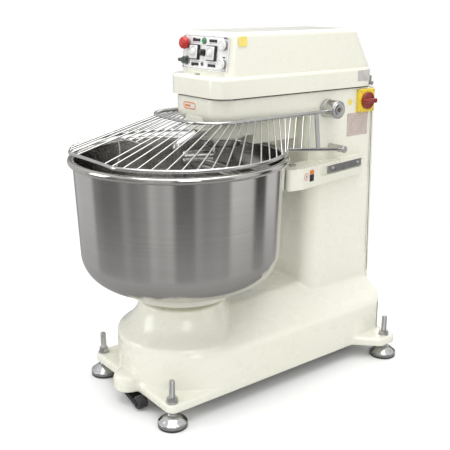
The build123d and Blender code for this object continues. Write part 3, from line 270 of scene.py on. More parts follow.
CREAM = (0.80, 0.795, 0.695)
finishes = {
    "cream_paint": enamel("cream_enamel", CREAM),
    "panel_plate": plastic("panel_face", (0.88, 0.88, 0.88), 0.3, 1400.0, 0.00003),
    "bowl_steel": turned_steel("bowl_spun_steel", (0.60, 0.59, 0.57), BOWL_AXIS, 0.15, 0.00001, 0.8),
    "tool_steel": polished_steel("tool_ground_steel", (0.60, 0.59, 0.58), 0.24, (1, 1, 6)),
    "guard_steel": polished_steel("guard_polished_steel", (0.62, 0.62, 0.61), 0.15),
    "guide_steel": polished_steel("guide_brushed_steel", (0.52, 0.52, 0.52), 0.3, (1, 0.1, 6)),
    "zinc_steel": polished_steel("zinc_plated_steel", (0.55, 0.55, 0.54), 0.3),
    "foot_chrome": turned_steel("foot_chromed_steel", (0.62, 0.62, 0.62), (0, 0, 0), 0.14, 0.00001, 0.2),
    "pad_rubber": rubber("foot_pad_rubber", (0.030, 0.030, 0.030)),
    "wheel_rubber": rubber("wheel_tread_rubber", (0.022, 0.022, 0.023)),
    "belt_rubber": rubber("belt_ribbed_rubber", (0.016, 0.016, 0.017)),
    "black_plastic": plastic("black_moulding", (0.018, 0.018, 0.020), 0.38),
    "grey_plastic": plastic("grey_moulding", (0.22, 0.22, 0.22), 0.42),
    "white_plastic": plastic("white_moulding", (0.78, 0.78, 0.76), 0.3, coat=0.3),
    "red_plastic": plastic("red_moulding", (0.50, 0.018, 0.014), 0.3, coat=0.35),
    "green_plastic": plastic("green_moulding", (0.02, 0.30, 0.06), 0.3, coat=0.35),
    "yellow_plastic": plastic("yellow_moulding", (0.86, 0.62, 0.03), 0.36, coat=0.2),
    "plate_aluminium": plastic("rating_plate_film", (0.60, 0.50, 0.45), 0.4),
    "motor_iron": cast_metal("motor_cast_iron", (0.07, 0.10, 0.13), 0.5, 0.35),
    "pulley_iron": cast_metal("pulley_machined_iron", (0.34, 0.34, 0.34), 0.38),
    "bearing_steel": polished_steel("bearing_ground_steel", (0.58, 0.58, 0.58), 0.2, (1, 1, 8)),
    "roller_plastic": plastic("roller_nylon", (0.62, 0.61, 0.56), 0.45),
}
soft_orange = plastic("plain_orange_film", (0.80, 0.26, 0.05), 0.4)
pale_yellow = plastic("plain_yellow_film", (0.90, 0.74, 0.18), 0.4)
label_grey = plastic("plain_grey_film", (0.34, 0.35, 0.35), 0.4)
plate_grey = plastic("plain_pale_grey_plate", (0.56, 0.54, 0.51), 0.4)
film_orange = plastic("plain_deep_orange_film", (0.72, 0.20, 0.02), 0.4)
dial_ink = plastic("dial_grey_ink", (0.20, 0.20, 0.21), 0.5)
switch_red = plastic("switch_dark_red_moulding", (0.26, 0.022, 0.012), 0.22, coat=0.5)
dark_gap = rubber("seam_shadow_rubber", (0.05, 0.05, 0.046))
lever_green = plastic("lever_dark_green_grip", (0.045, 0.062, 0.05), 0.28, coat=0.3)
lamp_smoke = plastic("lamp_smoked_lens", (0.05, 0.045, 0.045), 0.12, coat=0.6)

slot_of = {part["node"]: part["material_slot"] for part in frame["record"]["subparts"]}
for node, shown in frame["nodes"].items():
    shown.data.materials.clear()
    shown.data.materials.append(finishes[slot_of[node]])


# ======================================================================= building pieces
def piece(name, mesh, body, slot, material=None):
    """Puts a finished mesh in the scene on a body, with its slot's finish or another one."""
    made = bpy.data.objects.new(name, mesh)
    scene.collection.objects.link(made)
    mesh.materials.clear()
    mesh.materials.append(material or finishes[slot])
    for face in mesh.polygons:
        face.use_smooth = True
    mesh.set_sharp_from_angle(angle=SHARP_EDGE)
    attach(made, body)
    return made


def from_bmesh(name, shape):
    """Turns a bmesh into a mesh with its faces pointing outwards."""
    bmesh.ops.recalc_face_normals(shape, faces=shape.faces)
    mesh = bpy.data.meshes.new(name)
    shape.to_mesh(mesh)
    shape.free()
    return mesh


def circle(shape, radius, height, steps):
    """New vertices of a level circle about local Z."""
    angles = [2 * math.pi * k / steps for k in range(steps)]
    points = [(radius * math.cos(a), radius * math.sin(a), height) for a in angles]
    return [shape.verts.new(point) for point in points]


def bridge(shape, low, high):
    """Faces between two rings of as many vertices."""
    count = len(low)
    for k in range(count):
        after = (k + 1) % count
        shape.faces.new((low[k], low[after], high[after], high[k]))


def turned(profile, matrix=None, steps=ROUND_STEPS):
    """Bmesh of a closed turned body from (radius, height) points, first and last on the axis."""
    shape = bmesh.new()
    rings = []
    for radius, height in profile:
        if radius < 1e-7:
            rings.append([shape.verts.new((0, 0, height))])
            continue
        rings.append(circle(shape, radius, height, steps))
    for low, high in zip(rings, rings[1:]):
        for k in range(steps):
            after = (k + 1) % steps
            corners = [low[k % len(low)], low[after % len(low)]]
            corners += [high[after % len(high)], high[k % len(high)]]
            unique = list(dict.fromkeys(corners))
            if len(unique) > 2:
                shape.faces.new(unique)
    if matrix is not None:
        shape.transform(matrix)
    return shape


def turned_ring(profile, matrix=None, steps=ROUND_STEPS):
    """Bmesh of a ring turned from a closed (radius, height) outline."""
    shape = bmesh.new()
    rings = [circle(shape, radius, height, steps) for radius, height in profile]
    for low, high in zip(rings, rings[1:] + rings[:1]):
        bridge(shape, low, high)
    if matrix is not None:
        shape.transform(matrix)
    return shape


def arc(centre, radius, start, end, steps=8):
    """Points of an arc in a turning profile, angles in degrees."""
    turns = [math.radians(start + (end - start) * k / steps) for k in range(steps + 1)]
    return [(centre[0] + radius * math.cos(t), centre[1] + radius * math.sin(t)) for t in turns]


def block(size, matrix, edge, steps=3):
    """Bmesh of a block with rounded edges, standing on the matrix's XY plane."""
    shape = bmesh.new()
    bmesh.ops.create_cube(shape, size=1)
    for vertex in shape.verts:
        vertex.co = Vector((vertex.co.x * size[0], vertex.co.y * size[1], (vertex.co.z + 0.5) * size[2]))
    bmesh.ops.bevel(shape, geom=shape.edges[:], offset=edge, segments=steps, profile=0.5, affect="EDGES")
    shape.transform(matrix)
    return shape


def rounded_plate(size, thickness, corner, matrix, steps=6):
    """Bmesh of a thin plate with round corners, standing on the matrix's XY plane."""
    shape = bmesh.new()
    half = (size[0] / 2 - corner, size[1] / 2 - corner)
    outline = []
    for quarter, (sx, sy) in enumerate(((1, 1), (-1, 1), (-1, -1), (1, -1))):
        outline += arc((sx * half[0], sy * half[1]), corner, quarter * 90, quarter * 90 + 90, steps)
    rows = []
    edge = thickness * 0.3
    for inset, height in ((0, 0), (0, thickness - edge), (edge, thickness)):
        share = (1 - 2 * inset / size[0], 1 - 2 * inset / size[1])
        rows.append([shape.verts.new((x * share[0], y * share[1], height)) for x, y in outline])
    for low, high in zip(rows, rows[1:]):
        bridge(shape, low, high)
    shape.faces.new(rows[-1])
    shape.faces.new(list(reversed(rows[0])))
    shape.transform(matrix)
    return shape


def joined(shapes):
    """One bmesh out of several."""
    whole = bmesh.new()
    for shape in shapes:
        part = bpy.data.meshes.new("part")
        shape.to_mesh(part)
        shape.free()
        whole.from_mesh(part)
        bpy.data.meshes.remove(part)
    return whole


def add_pieces(name, shapes, body, slot, material=None):
    """One piece out of several shapes."""
    return piece(name, from_bmesh(name, joined(shapes)), body, slot, material)


def tube(points, radius, sides=12, closed=False):
    """Bmesh of a round bar through points, its ends closed."""
    shape = bmesh.new()
    points = [Vector(p) for p in points]
    count = len(points)
    rings = []
    turn = Vector((0.3, 0.2, 1)).normalized()
    for k, point in enumerate(points):
        before = points[k - 1] if k or closed else point
        after = points[(k + 1) % count] if k < count - 1 or closed else point
        forward = (after - before).normalized()
        across = (turn - forward * turn.dot(forward)).normalized()
        turn = across
        other = forward.cross(across)
        angles = [2 * math.pi * j / sides for j in range(sides)]
        reaches = [across * math.cos(a) + other * math.sin(a) for a in angles]
        rings.append([shape.verts.new(point + reach * radius) for reach in reaches])
    pairs = list(zip(rings, rings[1:])) + ([(rings[-1], rings[0])] if closed else [])
    for low, high in pairs:
        bridge(shape, low, high)
    if not closed:
        shape.faces.new(list(reversed(rings[0])))
        shape.faces.new(rings[-1])
    return shape


def screw_head(matrix, radius, height, cross=True):
    """Bmesh of a domed screw head with a cross recess."""
    brim = height * 0.35
    shoulder = arc((radius - height * 0.5, brim), height * 0.5, 0, 90, 4)
    dome = [(0, 0), (radius, 0), (radius, brim)] + shoulder + [(0, height * 0.95)]
    shapes = [turned(dome, matrix, 24)]
    if cross:
        for turn in (0, math.pi / 2):
            slot = matrix @ Matrix.Translation((0, 0, height * 0.8)) @ Matrix.Rotation(turn + 0.4, 4, "Z")
            shapes.append(block((radius * 1.3, radius * 0.22, height * 0.22), slot, radius * 0.04, 1))
    return joined(shapes)


# ======================================================================= frame castings
CASTING_VOXEL = 4.5 * MM
CASTING_ROUNDS = 14  # passes of smoothing over its edges


def smoothed_casting(name, nodes):
    """One welded and filled casting out of CAD nodes, with soft edges and corners."""
    whole = bmesh.new()
    for node in nodes:
        whole.from_mesh(frame["nodes"][node].data)
    mesh = bpy.data.meshes.new(name)
    whole.to_mesh(mesh)
    whole.free()
    made = bpy.data.objects.new(name, mesh)
    scene.collection.objects.link(made)
    remesh = made.modifiers.new("remesh", "REMESH")
    remesh.mode = "VOXEL"
    remesh.voxel_size = CASTING_VOXEL
    smooth = made.modifiers.new("smooth", "SMOOTH")
    smooth.factor = 0.5
    smooth.iterations = CASTING_ROUNDS
    evaluated = made.evaluated_get(bpy.context.evaluated_depsgraph_get())
    made.data = bpy.data.meshes.new_from_object(evaluated)
    made.modifiers.clear()
    made.data.materials.clear()
    made.data.materials.append(finishes["cream_paint"])
    for face in made.data.polygons:
        face.use_smooth = True
    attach(made, "frame")
    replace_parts(made, *nodes)


smoothed_casting("frame_enamelled_casting", ("base_casting", "column_casting"))


# ======================================================================= bowl
def spun_bowl():
    """Bowl spun from sheet: straight tapering wall, round corner, rolled rim."""
    low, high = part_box("bowl_shell")
    rim_r = high.x - 11 * MM
    rim_z = high.z - 11 * MM
    bottom = low.z
    wall_top, wall_low, corner, sheet = 0.345, 0.335, 0.105, 0.005
    outer = [(0.0, bottom)] + arc((wall_low - corner, bottom + corner), corner, -90, 0, 24)
    steps = 12
    start = outer[-1][1]
    for k in range(1, steps + 1):
        share = k / steps
        radius = wall_low + (wall_top - wall_low) * share
        outer.append((radius, start + (rim_z - 0.009 - start) * share))
    rolled = arc((rim_r, rim_z), 11 * MM, 215, -150, 28)
    inner = []
    for k in range(steps + 1):
        share = 1 - k / steps
        radius = wall_low - sheet + (wall_top - wall_low) * share
        inner.append((radius, start + (rim_z - 0.004 - start) * share))
    inner += arc((wall_low - corner, bottom + corner), corner - sheet, 0, -90, 24)
    profile = outer + rolled + inner + [(0.0, bottom + sheet)]
    return turned(profile, Matrix.Translation(BOWL_AXIS), 192)


bowl = piece("bowl_spun_shell", from_bmesh("bowl_spun_shell", spun_bowl()), "bowl", "bowl_steel")
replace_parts(bowl, "bowl_shell")


def weld_bead(centre, radius, bead, count, seed):
    """Bmesh of a rippled weld ring about an upright axis."""
    points = []
    for k in range(count):
        a = 2 * math.pi * k / count
        wobble = 0.25 * bead * math.sin(seed + 17 * a) + 0.12 * bead * math.sin(seed * 2 + 53 * a)
        reach = radius + wobble * 0.4
        points.append(centre + Vector((reach * math.cos(a), reach * math.sin(a), wobble * 0.5)))
    return tube(points, bead, 8, closed=True)


flange_top = Vector((0, BOWL_AXIS.y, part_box("bowl_flange")[1].z - 1 * MM))
flange_weld = weld_bead(flange_top, 0.1725, 2.6 * MM, 300, 1.0)
add_pieces("bowl_flange_weld", [flange_weld], "bowl", "bowl_steel")

# ======================================================================= guard
def islands(node):
    """Points of each separate piece of a CAD node's mesh, in the mesh's own order."""
    shape = bmesh.new()
    shape.from_mesh(frame["nodes"][node].data)
    bmesh.ops.remove_doubles(shape, verts=shape.verts, dist=1e-6)
    seen = set()
    found = []
    for first in shape.verts:
        if first in seen:
            continue
        seen.add(first)
        stack = [first]
        group = []
        while stack:
            vertex = stack.pop()
            group.append(vertex.co.copy())
            for edge in vertex.link_edges:
                other = edge.other_vert(vertex)
                if other not in seen:
                    seen.add(other)
                    stack.append(other)
        found.append(group)
    shape.free()
    return found


def blob(place, radius, flat):
    """Bmesh of one small weld, flatter along its height."""
    shape = bmesh.new()
    bmesh.ops.create_icosphere(shape, subdivisions=2, radius=radius)
    for vertex in shape.verts:
        ripple = 1 + 0.08 * math.sin(900 * vertex.co.x + 700 * vertex.co.y + 5 * place.x)
        vertex.co = Vector((vertex.co.x * ripple, vertex.co.y * ripple, vertex.co.z * flat))
    shape.transform(Matrix.Translation(place))
    return shape


def guard_weld_spots():
    """Both ends of each guard rod."""
    ring_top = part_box("guard_ring")[1].z
    frame_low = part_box("guard_frame")[0].z
    spots = []
    for group in islands("guard_rods"):
        lowest = min(group, key=lambda p: (p.z, p.x))
        highest = max(group, key=lambda p: p.z)
        for end, near in ((lowest, ring_top), (highest, frame_low)):
            close = [p for p in group if (p - end).length < 6 * MM]
            spot = sum(close, Vector()) / len(close)
            if abs(spot.z - near) < 8 * MM:
                spots.append(spot)
    return spots


rod_welds = [blob(spot, 3.8 * MM, 0.7) for spot in guard_weld_spots()]
add_pieces("guard_rod_welds", rod_welds, "guard", "guard_steel")


def hub_details():
    """Turned face ring, countersunk middle with painted shade of the bore, and set screw of each guard hub.
    """
    low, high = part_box("guard_hubs")
    pivot = Vector((0, (low.y + high.y) / 2, (low.z + high.z) / 2))
    faces, bore_shades, screws = [], [], []
    for side in (-1, 1):
        outward = Vector((side, 0, 0))
        face = along(outward, pivot + outward * (high.x - 0.6 * MM))
        ring = mm((14, 0), (14, 1.6), (16, 2.2), (24, 2.2), (26, 0))
        faces.append(turned_ring(ring, face, 72))
        # painted shade: a dark disc stands for the shaded hollow of the bore in the countersunk middle
        bore_shades.append(turned(mm((0, 0), (8.2, 0), (8.2, 1.5), (0, 1.1)), face, 48))
        collar = along(outward, pivot + outward * 0.150)
        band = mm((31, 0), (31.6, 1), (31.6, 7), (31, 8))
        faces.append(turned_ring(band, collar, 96))
        top = along(Vector((0, -0.35, 1)), pivot + Vector((side * 0.168, -10.3 * MM, 29.4 * MM)))
        screws.append(turned(mm((0, 0), (4.2, 0), (4.2, 1.6), (2.2, 1.6), (0, 0.6)), top, 24))
    add_pieces("guard_hub_faces", faces, "guard", "guard_steel")
    add_pieces("guard_hub_bore_shades", bore_shades, "guard", "guard_steel", dark_gap)
    add_pieces("guard_hub_set_screws", screws, "guard", "zinc_steel")


hub_details()

# ======================================================================= feet
def thread(base, radius, length, pitch, depth, sides=28):
    """Bmesh of a threaded stud standing on a point."""
    rows = int(length / pitch * 4)
    shape = bmesh.new()
    rings = []
    for row in range(rows + 1):
        ring = []
        for k in range(sides):
            a = 2 * math.pi * k / sides
            z = length * row / rows
            phase = (z / pitch - k / sides) % 1.0
            fade = min(1.0, (length - z) / (1.5 * pitch))
            reach = radius - depth * abs(2 * phase - 1) - (1 - fade) * depth
            ring.append(shape.verts.new(base + Vector((reach * math.cos(a), reach * math.sin(a), z))))
        rings.append(ring)
    for low, high in zip(rings, rings[1:]):
        bridge(shape, low, high)
    shape.faces.new(list(reversed(rings[0])))
    shape.faces.new(rings[-1])
    return shape


def hexagon(matrix, across_corners, height):
    """Bmesh of a hex nut with chamfered corners."""
    shape = bmesh.new()
    reach = across_corners / 2
    rows = []
    for share, z in ((0.93, 0.0), (1.0, height * 0.12), (1.0, height * 0.88), (0.93, height)):
        ring = []
        for k in range(36):
            a = 2 * math.pi * k / 36
            flat = math.cos(math.pi / 6) / math.cos((a + math.pi / 6) % (math.pi / 3) - math.pi / 6)
            r = min(reach * flat, reach * share)
            ring.append(shape.verts.new((r * math.cos(a), r * math.sin(a), z)))
        rows.append(ring)
    for low, high in zip(rows, rows[1:]):
        bridge(shape, low, high)
    shape.faces.new(rows[-1])
    shape.faces.new(list(reversed(rows[0])))
    shape.transform(matrix)
    return shape


def feet():
    """Threaded studs, nuts and washers, chromed cups and ribbed pads of the four feet."""
    cups = []
    for group in islands("foot_cups"):
        xs = [p.x for p in group]
        ys = [p.y for p in group]
        cups.append(Vector(((min(xs) + max(xs)) / 2, (min(ys) + max(ys)) / 2, 0)))
    cups.sort(key=lambda spot: (spot.y, -spot.x))
    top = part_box("foot_studs")[1].z
    nut_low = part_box("foot_nuts")[0].z
    studs, nuts, domes, pads = [], [], [], []
    for k, spot in enumerate(cups):
        low = spot + Vector((0, 0, 0.021))
        studs.append(thread(low, 9.9 * MM, top - 0.021, 2.6 * MM, 1.1 * MM))
        washer = mm((9.6, 0), (20, 0), (20, 2.2), (19.2, 3), (9.6, 3))
        nuts.append(turned_ring(washer, Matrix.Translation(spot + Vector((0, 0, nut_low))), 48))
        turn = Matrix.Rotation(0.35 + 0.8 * k, 4, "Z")
        high_nut = Matrix.Translation(spot + Vector((0, 0, nut_low + 3 * MM))) @ turn
        nuts.append(hexagon(high_nut, 34.6 * MM, 14 * MM))
        low_nut = Matrix.Translation(spot + Vector((0, 0, 46 * MM))) @ turn
        nuts.append(hexagon(low_nut, 30 * MM, 5.9 * MM))
        dome = mm((0, 8), (48, 8), (48, 17)) + arc((46.5 * MM, 17 * MM), 1.5 * MM, 0, 90, 4)
        dome += mm((43, 20.5), (36, 27.5), (29, 33), (22, 36.6))
        dome += mm((17.5, 38), (17, 39), (17, 44.6), (15.6, 46), (0, 46))
        domes.append(turned(dome, Matrix.Translation(spot), 72))
        pad = mm((0, 0), (46, 0), (47.6, 1.4), (47.6, 3), (46.8, 3.6))
        pad += mm((46.8, 4.4), (47.9, 5), (47.9, 8), (0, 8))
        pads.append(turned(pad, Matrix.Translation(spot), 72))
    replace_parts(add_pieces("foot_threaded_studs", studs, "frame", "zinc_steel"), "foot_studs")
    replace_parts(add_pieces("foot_hex_nuts", nuts, "frame", "zinc_steel"), "foot_nuts")
    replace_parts(add_pieces("foot_domed_cups", domes, "frame", "foot_chrome"), "foot_cups")
    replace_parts(add_pieces("foot_ribbed_pads", pads, "frame", "pad_rubber"), "foot_pads")


feet()

# ======================================================================= control panel
PANEL_HALF = (0.121, 0.0555)


def panel_trim():
    """Thin grey outline of the panel, its cross-head screws and the legend blocks."""
    inset = 4 * MM
    corner = 5 * MM
    outline = []
    for quarter, (sx, sy) in enumerate(((1, 1), (-1, 1), (-1, -1), (1, -1))):
        centre = (sx * (PANEL_HALF[0] - inset - corner), sy * (PANEL_HALF[1] - inset - corner))
        outline += arc(centre, corner, quarter * 90, quarter * 90 + 90, 6)
    line = tube([panel_spot(u, v, 0.1 * MM) for u, v in outline], 0.55 * MM, 8, closed=True)
    add_pieces("panel_outline", [line], "hood", "panel_plate", dial_ink)
    corners = [(u, v) for u in (-0.115, 0.115) for v in (-0.049, 0.049)]
    screws = [screw_head(on_panel(u, v, 0.2 * MM), 3.9 * MM, 2.4 * MM) for u, v in corners]
    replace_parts(add_pieces("panel_cross_screws", screws, "hood", "zinc_steel"), "panel_screws")
    blocks, lines = [], []
    timers = [panel_place(f"timer_knob_{side}")[0] for side in ("left", "right")]
    for u in timers:
        for v in (0.0385, -0.0385):
            for k in (-1, 0, 1):
                spot = on_panel(u + k * 14 * MM, v)
                blocks.append(rounded_plate((12 * MM, 9 * MM), 1.6 * MM, 1 * MM, spot))
        lines.append(rounded_plate((42 * MM, 0.9 * MM), 0.3 * MM, 0.4 * MM, on_panel(u, 0.0305)))
        lines.append(rounded_plate((42 * MM, 0.9 * MM), 0.3 * MM, 0.4 * MM, on_panel(u, -0.0305)))
    for u, v in ((0.103, 0.0485), (0.103, -0.0095), (-0.062, 0.043), (-0.062, -0.043)):
        blocks.append(rounded_plate((13 * MM, 4 * MM), 0.8 * MM, 0.8 * MM, on_panel(u, v)))
    add_pieces("panel_legend_blocks", blocks, "hood", "panel_plate", finishes["black_plastic"])
    add_pieces("panel_legend_lines", lines, "hood", "panel_plate", dial_ink)


panel_trim()


def timers():
    """White square timer faces in black cases, with a grey dial scale and a black pointer knob."""
    faces, cases, marks = [], [], []
    for side in ("left", "right"):
        u = panel_place(f"timer_knob_{side}")[0]
        v = 0.0
        cases.append(block((48 * MM, 48 * MM, 10 * MM), on_panel(u, v), 2.4 * MM))
        face = rounded_plate((42 * MM, 42 * MM), 1.7 * MM, 3 * MM, on_panel(u, v, 10 * MM))
        faces.append(face)
        start, sweep, count = -135, 270, 21
        dial = 17 * MM
        points = []
        for k in range(37):
            a = math.radians(90 + start + sweep * k / 36)
            points.append(panel_spot(u + dial * math.cos(a), v + dial * math.sin(a), 11.75 * MM))
        marks.append(tube(points, 0.45 * MM, 6))
        for k in range(count):
            a = 90 + start + sweep * k / (count - 1)
            long = 3.6 * MM if k % 5 == 0 else 2.0 * MM
            turn = Matrix.Rotation(math.radians(a), 4, "Z")
            tick = on_panel(u, v, 11.6 * MM) @ turn @ Matrix.Translation((dial - long / 2, 0, 0))
            marks.append(rounded_plate((long, 0.7 * MM), 0.35 * MM, 0.3 * MM, tick, 2))
        knob = turned(
            mm((0, 0), (12, 0), (12, 1.2), (9.6, 2), (9.2, 5.2), (8.2, 6), (0, 6)),
            on_panel(u, v, 12.5 * MM), 48,
        )
        grip = block((4.6 * MM, 19 * MM, 4 * MM), on_panel(u, v, 14 * MM), 0.8 * MM)
        made = add_pieces(f"timer_pointer_knob_{side}", [knob, grip], f"timer_{side}", "white_plastic")
        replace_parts(made, f"timer_knob_{side}")
        line = rounded_plate((1.2 * MM, 8 * MM), 0.5 * MM, 0.5 * MM, on_panel(u, v + 5 * MM, 17.9 * MM), 3)
        add_pieces(f"timer_pointer_line_{side}", [line], f"timer_{side}", "black_plastic")
    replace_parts(add_pieces("timer_black_cases", cases, "hood", "black_plastic"), "timer_cases")
    add_pieces("timer_white_faces", faces, "hood", "white_plastic")
    add_pieces("timer_dial_marks", marks, "hood", "grey_plastic", dial_ink)


timers()


# middles of the four larger controls' shafts on the panel, u right and v up
SHAFT_PLACES = {
    "emergency_stop": (-0.095, 0.025),
    "direction_lever": (-0.095, -0.029),
    "jog_button_upper": (0.103, 0.027),
    "jog_button_lower": (0.103, -0.031),
}


def push_buttons():
    """Mushroom stop, green start, the two jog caps and their collars."""
    u, v = panel_place("emergency_stop")
    stem = mm((0, -24), (10.9, -24), (10.9, 9), (19, 11))
    mushroom = stem + mm((20, 13), (20, 19)) + arc((8 * MM, 18.4 * MM), 12 * MM, 3, 84, 12) + mm((0, 30))
    shapes = [turned(mushroom, on_panel(u, v))]
    made = add_pieces("stop_mushroom_head", shapes, "stop_button", "red_plastic")
    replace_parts(made, "emergency_stop")
    rings = []
    collar = mm((11.2, 0), (15, 0), (15, 2.6), (13.8, 3.9), (11.2, 4))
    for node in SHAFT_PLACES:
        rings.append(turned_ring(collar, on_panel(*SHAFT_PLACES[node])))
    small = mm((8.2, 0), (11, 0), (11, 2), (10.2, 3), (8.2, 3))
    rings.append(turned_ring(small, on_panel(*panel_place("start_button"))))
    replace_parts(add_pieces("button_grey_collars", rings, "hood", "grey_plastic"), "button_collars")
    start = mm((0, -19), (7.9, -19), (7.9, 6), (7.1, 7), (0, 6.6))
    shapes = [turned(start, on_panel(*panel_place("start_button")))]
    made = add_pieces("start_green_cap", shapes, "start", "green_plastic")
    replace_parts(made, "start_button")
    for name in ("upper", "lower"):
        node = f"jog_button_{name}"
        cap = mm((0, -24), (10.9, -24), (10.9, 7.5), (15, 8), (16, 9))
        cap += mm((16, 13), (14.6, 14.6), (12.4, 15), (11.6, 14.3), (0, 13.9))
        shapes = [turned(cap, on_panel(*SHAFT_PLACES[node]))]
        made = add_pieces(f"jog_clear_cap_{name}", shapes, f"jog_{name}", "white_plastic")
        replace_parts(made, node)
        rim = mm((12.4, 0), (13.2, 0.7), (14, 0))
        groove = turned_ring(rim, on_panel(*SHAFT_PLACES[node], 14.5 * MM))
        add_pieces(f"jog_cap_ring_{name}", [groove], f"jog_{name}", "grey_plastic", label_grey)


push_buttons()


def knobs_and_lamp():
    """Speed knob, direction lever and pilot lamp."""
    u, v = -0.004, 0.0
    skirt = mm((0, -29), (7.9, -29), (7.9, 0.5), (11, 0.6), (11, 2.6))
    skirt += mm((9, 3.4), (8.6, 15.6), (7.6, 16.6), (0, 16.6))
    grip = block((5.4 * MM, 20 * MM, 12.8 * MM), on_panel(u, v, 4 * MM), 1 * MM)
    shapes = [turned(skirt, on_panel(u, v), 40), grip]
    made = add_pieces("speed_finger_knob", shapes, "speed", "black_plastic")
    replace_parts(made, "speed_knob")
    line = rounded_plate((1 * MM, 7 * MM), 0.4 * MM, 0.4 * MM, on_panel(u, v + 5.5 * MM, 16.5 * MM), 3)
    add_pieces("speed_pointer_line", [line], "speed", "white_plastic")
    u, v = SHAFT_PLACES["direction_lever"]
    boss = mm((0, -24), (10.9, -24), (10.9, 6), (12, 7), (12, 15), (10, 19), (0, 20))
    handle = mm((0, 0), (5.2, 0), (5.8, 8), (6, 22)) + arc((0, 25 * MM), 6 * MM, 0, 90, 8)
    towards = along(Vector((-1, 0, 0)), panel_spot(u, v, 13.5 * MM), PANEL_OUT)
    shapes = [turned(boss, on_panel(u, v), 48), turned(handle, towards, 32)]
    made = add_pieces("lever_bullet_handle", shapes, "lever", "black_plastic", lever_green)
    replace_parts(made, "direction_lever")
    u, v = panel_place("pilot_lamp")
    bezel = mm((5.4, 0), (7.4, 0), (7.4, 1.4), (6.4, 2.6), (5.4, 2.2))
    add_pieces("pilot_lamp_bezel", [turned_ring(bezel, on_panel(u, v), 40)], "hood", "zinc_steel")
    lens = mm((0, 0), (5.6, 0), (5.6, 2.4)) + arc((0, 1.4 * MM), 5 * MM, 15, 45, 4) + mm((0, 5))
    shapes = [turned(lens, on_panel(u, v), 40)]
    made = add_pieces("pilot_lamp_lens", shapes, "hood", "black_plastic", lamp_smoke)
    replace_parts(made, "pilot_lamp")


knobs_and_lamp()

# ======================================================================= main switch and plates
def main_switch():
    """Yellow switch plate with screws and marks, and the round red knob with its grip."""
    low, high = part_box("main_switch_plate")
    face = Vector((high.x, (low.y + high.y) / 2, (low.z + high.z) / 2))
    outward = Vector((1, 0, 0))
    base = along(outward, Vector((low.x, face.y, face.z)))
    plate = block((high.y - low.y, high.z - low.z, high.x - low.x), base, 3 * MM)
    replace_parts(add_pieces("switch_yellow_plate", [plate], "frame", "yellow_plastic"), "main_switch_plate")
    shapes = []
    for sy in (-1, 1):
        for sz in (-1, 1):
            spot = face + Vector((-0.3 * MM, sy * 34 * MM, sz * 35 * MM))
            shapes.append(screw_head(along(outward, spot), 2.8 * MM, 1.6 * MM))
    add_pieces("switch_plate_screws", shapes, "frame", "zinc_steel")
    seat = along(outward, face + outward * 0.5 * MM)
    disc = mm((0, 0), (31, 0), (31, 6)) + arc((28 * MM, 6 * MM), 3 * MM, 0, 90, 5) + mm((0, 8.4))
    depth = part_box("main_switch_knob")[1].x - face.x - 0.5 * MM
    grip = block((58 * MM, 17 * MM, depth - 1 * MM), seat, 4.5 * MM, 4)
    shapes = [turned(disc, seat), grip]
    made = add_pieces("switch_red_knob", shapes, "main_switch", "red_plastic", switch_red)
    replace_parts(made, "main_switch_knob")
    marks = []
    for k in range(5):
        a = math.radians(45 * k)
        spot = face + Vector((-0.1 * MM, 35 * MM * math.cos(a), 35 * MM * math.sin(a)))
        tick = along(outward, spot) @ Matrix.Rotation(a, 4, "Z")
        marks.append(rounded_plate((4 * MM, 1.4 * MM), 0.4 * MM, 0.5 * MM, tick, 2))
    add_pieces("switch_scale_marks", marks, "frame", "black_plastic")


main_switch()


def rating_plate():
    """Faint generic rules on the rating plate, and its four rivets."""
    low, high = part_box("rating_plates")
    y, z = (low.y + high.y) / 2, (low.z + high.z) / 2
    width, height = high.y - low.y, high.z - low.z
    rules, rivets = [], []
    for k in range(7):
        level = z + height * (0.36 - 0.115 * k)
        long = width * (0.84 if k else 0.5)
        spot = along((1, 0, 0), (high.x - 0.15 * MM, y, level))
        rules.append(rounded_plate((long, 1.0 * MM), 0.3 * MM, 0.4 * MM, spot, 2))
    for share in (-0.3, 0.22):
        spot = along((1, 0, 0), (high.x - 0.15 * MM, y + width * share, z - height * 0.1))
        rules.append(rounded_plate((0.9 * MM, height * 0.62), 0.3 * MM, 0.4 * MM, spot, 2))
    for sy in (-1, 1):
        for sz in (-1, 1):
            across, up = sy * (width / 2 - 5 * MM), sz * (height / 2 - 5 * MM)
            spot = along((1, 0, 0), (high.x - 0.1 * MM, y + across, z + up))
            rivets.append(screw_head(spot, 2.2 * MM, 1.3 * MM, cross=False))
    add_pieces("rating_plate_rules", rules, "frame", "plate_aluminium", label_grey)
    add_pieces("rating_plate_rivets", rivets, "frame", "zinc_steel")


rating_plate()


